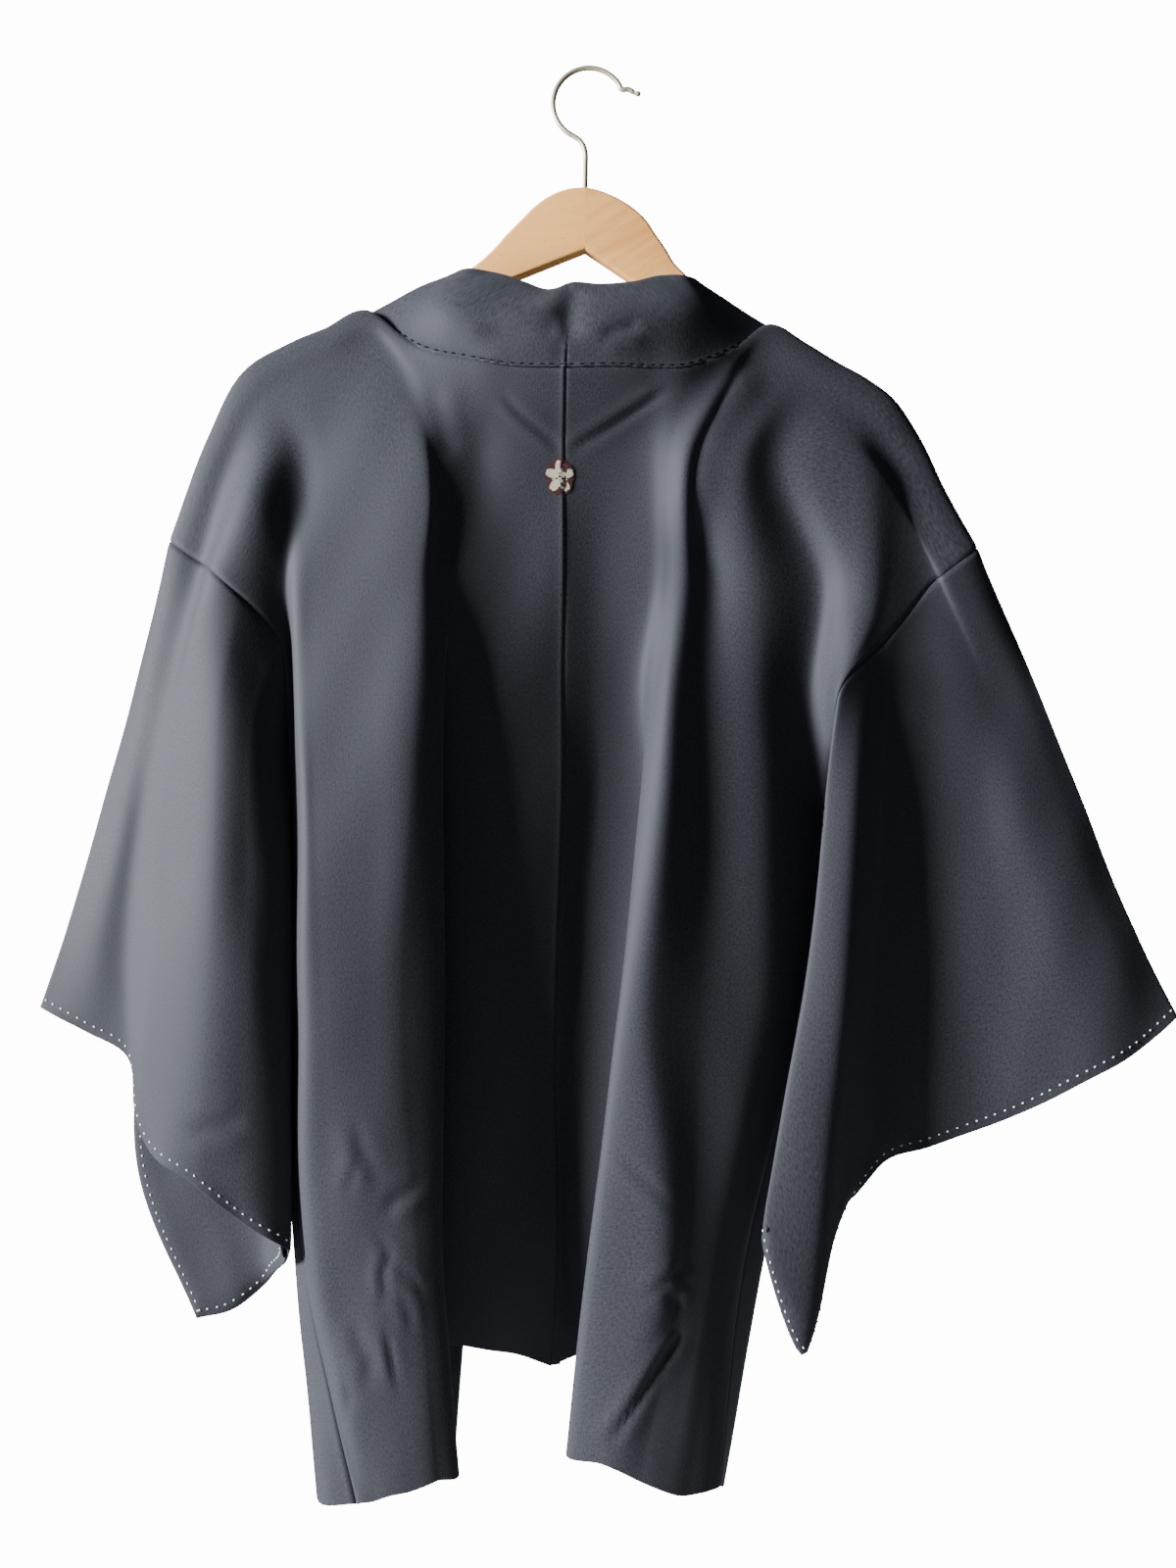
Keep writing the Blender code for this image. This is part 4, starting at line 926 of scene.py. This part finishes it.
def makeGusset(side):
    body = bodies[side]
    start = body["armholeEnd"]
    first, last = body["shapedBack"][-1, start:], body["shapedFront"][-1, start:]
    top = levels.index(armholeLevel)
    shift = splineWeights(levels[top:], body["down"][start:]) @ np.array(gussetMiddles[side], float)
    middle = (first + last) / 2 + shift
    weights = splineWeights((0.0, 0.5, 1.0), np.linspace(0, 1, 13))
    grid = np.einsum("ab,bnc->anc", weights, np.stack([first, middle, last], axis=0))
    mesh = bmesh.new()
    addLayer(mesh, grid, (2.0, 0.0), False)
    outside = Vector((-1 if side == "left" else 1, 0, 0))
    piece = finishSheet("gusset_" + side + "_cloth", mesh, crepe, bodySizes["wall"], outside)
    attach(piece, "root")
    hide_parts("gusset_" + side)
    "body_" + side + "_cloth"
    return piece


for side in ("left", "right"):
    makeGusset(side)
print("gussets made")

# ---- collar band, from the left front's hem round the neck to the right front's ----

# the collar seam's stitches as short dark beads: partly real thread, partly painted shadow of the pinched
# dashes
stitchShadowDashes = {"pitch": 6.6, "length": 2.1, "width": 0.5, "proud": 0.55, "pastShoulder": 25.0}


def makeCollar():
    edges, places = [], []
    frontRun, neckRun = collarSizes["frontRun"], collarSizes["neckRun"]
    left, right = bodies["left"], bodies["right"]
    down = left["down"] / left["down"][-1]
    for j in range(len(down) - 1, 0, -1):
        edges.append(left["shapedFront"][0, j])
        places.append(-down[j] * frontRun)
    for body, sign in ((left, -1), (right, 1)):
        neck = body["shapedBack"][: body["first"] + 1, 0]
        shares = body["across"][: body["first"] + 1] / body["across"][body["first"]]
        order = range(len(neck) - 1, -1, -1) if sign < 0 else range(1, len(neck))
        for i in order:
            edges.append(neck[i])
            places.append((1.0 + sign * shares[i]) * neckRun)
    for j in range(1, len(down)):
        edges.append(right["shapedFront"][0, j])
        places.append(2.0 * neckRun + down[j] * frontRun)
    runs = {"front left": (0.0, -frontRun), "neck left": (neckRun, -neckRun),
            "neck right": (neckRun, neckRun), "front right": (2 * neckRun, frontRun)}
    knots = [runs[row[1]][0] + runs[row[1]][1] * row[2] for row in collarStations]
    weights = splineWeights(knots, places)
    sewn = np.array(edges)
    middle = weights @ np.array([row[3] for row in collarStations], float)
    free = weights @ np.array([row[4] for row in collarStations], float)
    net = np.stack([sewn, middle, free], axis=1)
    across = np.concatenate([[-0.03, -0.012, 0.006, 0.025, 0.05, 0.085], np.linspace(0.12, 1.0, 17)])
    grid = np.einsum("ab,nbc->nac", splineWeights((0.0, 0.5, 1.0), across), net)
    normals = layerNormals(grid, ((len(grid) // 2, 10), (0, -1, 0)))
    grid = addCreases(grid, normals, collarCreases, np.clip((grid[..., 2] + 260.0) / 10.0, 0, 1))
    # hand stitches pull the lower edge down at every few millimetres, and it stands proud between them
    along = runLengths(sewn)
    proud = edgeLengths(grid, 1, False)
    lift = 0.9 * np.exp(-(proud / 2.6) ** 2) + 0.3 * np.exp(-(proud / 9.0) ** 2)
    wave = collarSizes["stitchDepth"] * np.cos(2 * math.pi * along / collarSizes["stitchPitch"])[:, None]
    pucker = wave * np.exp(-(proud / 2.2) ** 2)
    places = np.array(places)
    back = np.clip(1 - np.abs(places / neckRun - 1.0) * 0.9, 0, 1)[:, None] ** 0.5
    grid = pushed(grid, normals, (lift + pucker) * back)
    past = stitchShadowDashes["pastShoulder"]
    onNeck = (places > -past) & (places < 2 * neckRun + past)
    mesh = bmesh.new()
    # dark beads along the sewn edge: the thread, and painted shade in place of the shadows between the
    # puckers
    stitchLine(mesh, grid[onNeck, 2], normals[onNeck, 2], stitchShadowDashes)
    threads = finishThreads("collar_stitch_shadows", mesh, seamThreadShadow)
    # the band is folded double along its free edge
    edge, rise, out = grid[:, -1], unitVectors(grid[:, -1] - grid[:, -2]), normals[:, -1]
    radius, tuck = collarSizes["foldRadius"], collarSizes["foldTuck"]
    rolled = [edge + rise * radius * math.sin(a) - out * radius * (1 - math.cos(a))
              for a in np.radians((40, 80, 120, 160))]
    rolled += [edge - out * radius * 2 - rise * tuck * share for share in (0.05, 0.2, 0.45, 0.7, 1.0)]
    grid = np.concatenate([grid, np.stack(rolled, axis=1)], axis=1)
    mesh = bmesh.new()
    addLayer(mesh, grid, (3.0, 0.0), False)
    piece = finishSheet("collar_cloth", mesh, crepe, collarSizes["wall"], Vector((0, -1, 0)))
    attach(piece, "root")
    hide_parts("collar")
    return piece


makeCollar()
print("collar made")

# ---- crest: five petals on the centre seam ----
crest = {
    "centre": (-18.7, -278.0),
    "width": 20.0,
    "height": 25.5,
    "petals": 5,
    "petalReach": 0.54,         # where a petal's middle lies, as a share of the half size
    "petalSize": (0.29, 0.35),
    "notch": 0.22,
    "stamenReach": 0.40,
    "stamenSize": (0.45, 1.5),
    "eye": (1.5, 1.9),
    "pupil": (0.7, 0.9),
    "proud": 1.0,
}


def onBack(x, z):
    # how deep the back's cloth lies at a place
    distance = np.hypot(backPoints[:, 0] - x, backPoints[:, 2] - z) + 0.05
    near = np.argpartition(distance, 8)[:8]
    weights = 1 / distance[near] ** 2
    return float((backPoints[near, 1] * weights).sum() / weights.sum())


def petalOutline(centre, size, turn, pinch, count):
    # an oval whose outer end has a small notch
    points = []
    for step in range(count):
        angle = 2 * math.pi * step / count
        reach = 1.0 - pinch * math.exp(-(((angle + math.pi) % (2 * math.pi) - math.pi) / 0.28) ** 2)
        across, out = size[0] * math.sin(angle) * reach, size[1] * math.cos(angle) * reach
        points.append((centre[0] + out * math.sin(turn) + across * math.cos(turn),
                       centre[1] + out * math.cos(turn) - across * math.sin(turn)))
    return points


def addPatch(mesh, outline, proud, slot):
    # a filled outline laid on the back, as triangles round its middle
    outline = np.array(outline)
    count = len(outline)
    made = bmesh.ops.create_circle(mesh, cap_ends=True, cap_tris=True, segments=count, radius=1.0)["verts"]
    for vert in made:
        if vert.co.length < 0.5:
            x, z = outline.mean(axis=0)
        else:
            turn = math.atan2(vert.co.y, vert.co.x) / (2 * math.pi)
            x, z = outline[int(round(turn * count)) % count]
        vert.co = Vector((x, onBack(x, z) - proud, z)) * mm
    for face in {face for vert in made for face in vert.link_faces}:
        face.material_index = slot


def makeCrest():
    mesh = bmesh.new()
    cx, cz = crest["centre"]
    halfWidth, halfHeight = crest["width"] / 2, crest["height"] / 2
    ground = []
    for step in range(60):
        angle = 2 * math.pi * step / 60
        lobe = 0.86 + 0.14 * abs(math.cos(2.5 * (angle - math.pi / 2))) ** 0.8
        ground.append((cx + halfWidth * lobe * math.cos(angle), cz + halfHeight * lobe * math.sin(angle)))
    proud = crest["proud"]
    addPatch(mesh, ground, proud, 0)

    def outwards(turn, share):
        return (cx + math.sin(turn) * halfWidth * share, cz + math.cos(turn) * halfHeight * share)

    petalSize = (halfWidth * crest["petalSize"][0], halfHeight * crest["petalSize"][1])
    for petal in range(crest["petals"]):
        turn = 2 * math.pi * petal / crest["petals"]
        place = outwards(turn, crest["petalReach"])
        addPatch(mesh, petalOutline(place, petalSize, turn, crest["notch"], 24), proud + 0.16, 1)
        between = turn + math.pi / crest["petals"]
        tip = outwards(between, crest["stamenReach"])
        addPatch(mesh, petalOutline(tip, crest["stamenSize"], between, 0.0, 12), proud + 0.2, 1)
    addPatch(mesh, petalOutline((cx, cz), crest["eye"], 0.0, 0.0, 16), proud + 0.22, 1)
    addPatch(mesh, petalOutline((cx, cz), crest["pupil"], 0.0, 0.0, 12), proud + 0.3, 0)
    bmesh.ops.recalc_face_normals(mesh, faces=mesh.faces)
    for face in mesh.faces:
        if face.normal.y > 0:
            face.normal_flip()
    piece = linked("crest_blossom", smoothData("crest_blossom", mesh, crestGround, crestPetal))
    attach(piece, "root")
    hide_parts("crest")
    return piece


# the part of the back that the crest lies on
backPoints = np.concatenate([bodies[side]["shapedBack"][:40, :140].reshape(-1, 3)
                             for side in ("left", "right")])
makeCrest()
print("crest made")

# ---- hanger: two flat wooden halves and the wire hook ----
hanger = {
    "thickness": 10.5,
    "edge": 2.2,
    "belowCloth": 2.7,
    "pastJoint": 6.0,       # extra length of each half, cut off at the joint
    "wire": 1.7,
    "hookRadius": 24.1,
    "hookSweep": (24, 246),
    "hookTip": ((35.5, -15.8), (31.5, -15.2), (27.5, -12.8)),
    "hookShank": ((-5.2, -47.5), (-2.8, -51.5), (-1.7, -56.0), (-1.7, -64.0), (-2.0, -79.6)),
    # distance from the open end, and thickness there: a ball and a narrow neck
    "hookEnd": ((0.0, 0.5), (0.5, 0.85), (1.4, 1.06), (2.6, 1.0), (3.6, 0.7), (4.2, 0.62), (5.0, 0.85),
                (5.8, 1.0)),
}


def smoothRun(points, step):
    points = np.array(points, float)
    lengths = runLengths(points)
    return splineWeights(lengths, np.linspace(0, lengths[-1], max(2, int(lengths[-1] / step)))) @ points


def makeArm(side, crown, tip, underside, grain):
    body = bodies[side]
    start, end = abs(crown[-1][0]) + 18.0, abs(tip[0][0]) - 4.0
    shoulder = [(p[0], p[2] - hanger["belowCloth"]) for p in body["back"][body["first"]:, 0]
                if start < abs(p[0]) < end]
    sign = -1.0 if side == "left" else 1.0
    joint, base = crown[0], underside[-1]
    inner = -sign * hanger["pastJoint"]
    top = smoothRun(list(crown) + shoulder[::3], 3.0)
    curved = smoothRun([shoulder[-1]] + list(tip), 1.5)[1:]
    under = smoothRun([tip[-1]] + list(underside[:-1]), 4.0)[1:]
    outline = [(joint[0] + inner, joint[1]), *np.concatenate([top, curved, under]),
               base, (base[0] + inner, base[1])]
    curve = bpy.data.curves.new("hanger_" + side, "CURVE")
    curve.dimensions, curve.fill_mode = "2D", "BOTH"
    edge = hanger["edge"] * mm
    curve.extrude = hanger["thickness"] / 2 * mm - edge
    curve.bevel_depth, curve.offset, curve.bevel_resolution = edge, -edge, 4
    spline = curve.splines.new("POLY")
    spline.points.add(len(outline) - 1)
    for point, (x, z) in zip(spline.points, outline):
        point.co = (x * mm, z * mm, 0.0, 1.0)
    spline.use_cyclic_u = True
    flat = linked("hanger_flat_" + side, curve)
    flat.rotation_euler = (math.pi / 2, 0, 0)
    bpy.context.view_layer.update()
    data = bpy.data.meshes.new_from_object(flat.evaluated_get(bpy.context.evaluated_depsgraph_get()))
    data.transform(flat.matrix_world)
    bpy.data.objects.remove(flat, do_unlink=True)
    # cut square where the two halves are glued
    mesh = bmesh.new()
    mesh.from_mesh(data)
    bmesh.ops.remove_doubles(mesh, verts=mesh.verts, dist=0.00001)
    cut = bmesh.ops.bisect_plane(mesh, geom=mesh.verts[:] + mesh.edges[:] + mesh.faces[:],
                                 plane_co=(joint[0] * mm, 0, 0), plane_no=(-sign, 0, 0),
                                 clear_outer=True)["geom_cut"]
    bmesh.ops.edgeloop_fill(mesh, edges=[item for item in cut if isinstance(item, bmesh.types.BMEdge)])
    mesh.to_mesh(data)
    mesh.free()
    data.name = "hanger_" + side
    data.set_sharp_from_angle(angle=math.radians(40))
    data.materials.clear()
    data.materials.append(grain)
    piece = linked("hanger_" + side, data)
    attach(piece, "root")
    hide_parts("hanger_arm_" + side)
    return piece


makeArm("left", crownLeft, tipLeft, undersideLeft, makeBeech("beech, left half", 4.0, 0.0))
makeArm("right", crownRight, tipRight, undersideRight, makeBeech("beech, right half", 31.0, 0.75))


def makeHook():
    radius, wire = hanger["hookRadius"], hanger["wire"]
    centre = (0.7, -radius + wire)
    points = list(hanger["hookTip"])
    for angle in np.linspace(*hanger["hookSweep"], 25):
        turn = math.radians(angle)
        points.append((centre[0] + radius * math.cos(turn), centre[1] + radius * math.sin(turn)))
    run = smoothRun(points + list(hanger["hookShank"]), 0.9)
    thick = np.interp(runLengths(run), *zip(*hanger["hookEnd"]))
    curve = bpy.data.curves.new("hook", "CURVE")
    curve.dimensions = "3D"
    curve.bevel_depth, curve.bevel_resolution, curve.use_fill_caps = wire * mm, 5, True
    spline = curve.splines.new("POLY")
    spline.points.add(len(run) - 1)
    for point, (x, z), size in zip(spline.points, run, thick):
        point.co = (x * mm, 0.0, z * mm, 1.0)
        point.radius = size
    piece = linked("hook", curve)
    curve.materials.append(nickel)
    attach(piece, "root")
    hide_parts("hanger_hook")
    return piece


makeHook()
print("hanger made")

# ---- camera, light and floor ----
studio = {
    "cameraPlace": (0.0, -0.90, -0.4805),
    "focal": 30.68,
    "key": ((-4.9, -1.75, 0.6), 1.3, 1520.0, (0.90, 0.955, 1.0)),
    "fill": ((0.3, -2.4, 0.3), 1.6, 2.5, (0.85, 0.93, 1.0)),
    "aim": (0.0, 0.0, -0.55),
    "air": ((0.80, 0.87, 1.0, 1.0), 0.075),     # the light from all round
    "backdrop": ((1.0, 1.0, 1.0, 1.0), 14.0),   # what the camera sees behind the piece
    "floorDrop": -1.55,
    "floorRadius": 0.9,
}
camera = bpy.data.cameras.new("camera")
camera.sensor_fit = "VERTICAL"
camera.sensor_width = camera.sensor_height = 36.0
camera.lens = studio["focal"]
cameraObject = linked("camera", camera)
cameraObject.location = studio["cameraPlace"]
cameraObject.rotation_euler = (math.pi / 2, 0, 0)
bpy.context.scene.camera = cameraObject


def addLight(name, place, size, power, colour):
    light = bpy.data.lights.new(name, "AREA")
    light.size, light.energy, light.color = size, power, colour
    obj = linked(name, light)
    obj.location = place
    obj.rotation_euler = (Vector(studio["aim"]) - Vector(place)).to_track_quat("-Z", "Y").to_euler()


addLight("window", *studio["key"])
addLight("fill", *studio["fill"])

world = bpy.data.worlds.new("studio")
bpy.context.scene.world = world
world.use_nodes = True
nodes, links = world.node_tree.nodes, world.node_tree.links
air, backdrop = nodes["Background"], nodes.new("ShaderNodeBackground")
for node, look in ((air, studio["air"]), (backdrop, studio["backdrop"])):
    node.inputs["Color"].default_value, node.inputs["Strength"].default_value = look
ray, mix = nodes.new("ShaderNodeLightPath"), nodes.new("ShaderNodeMixShader")
links.new(ray.outputs["Is Camera Ray"], mix.inputs[0])
links.new(air.outputs[0], mix.inputs[1])
links.new(backdrop.outputs[0], mix.inputs[2])
links.new(mix.outputs[0], nodes["World Output"].inputs[0])

mesh = bmesh.new()
bmesh.ops.create_circle(mesh, cap_ends=True, segments=96, radius=studio["floorRadius"],
                        matrix=Matrix.Translation((0, 0, studio["floorDrop"])))
floorData = bpy.data.meshes.new("floor")
mesh.to_mesh(floorData)
mesh.free()
floor = linked("floor", floorData)
paleFloor = MaterialMaker("pale floor", Base_Color=(0.85, 0.85, 0.85, 1.0), Roughness=0.8)
floorData.materials.append(paleFloor.material)
print("studio ready")
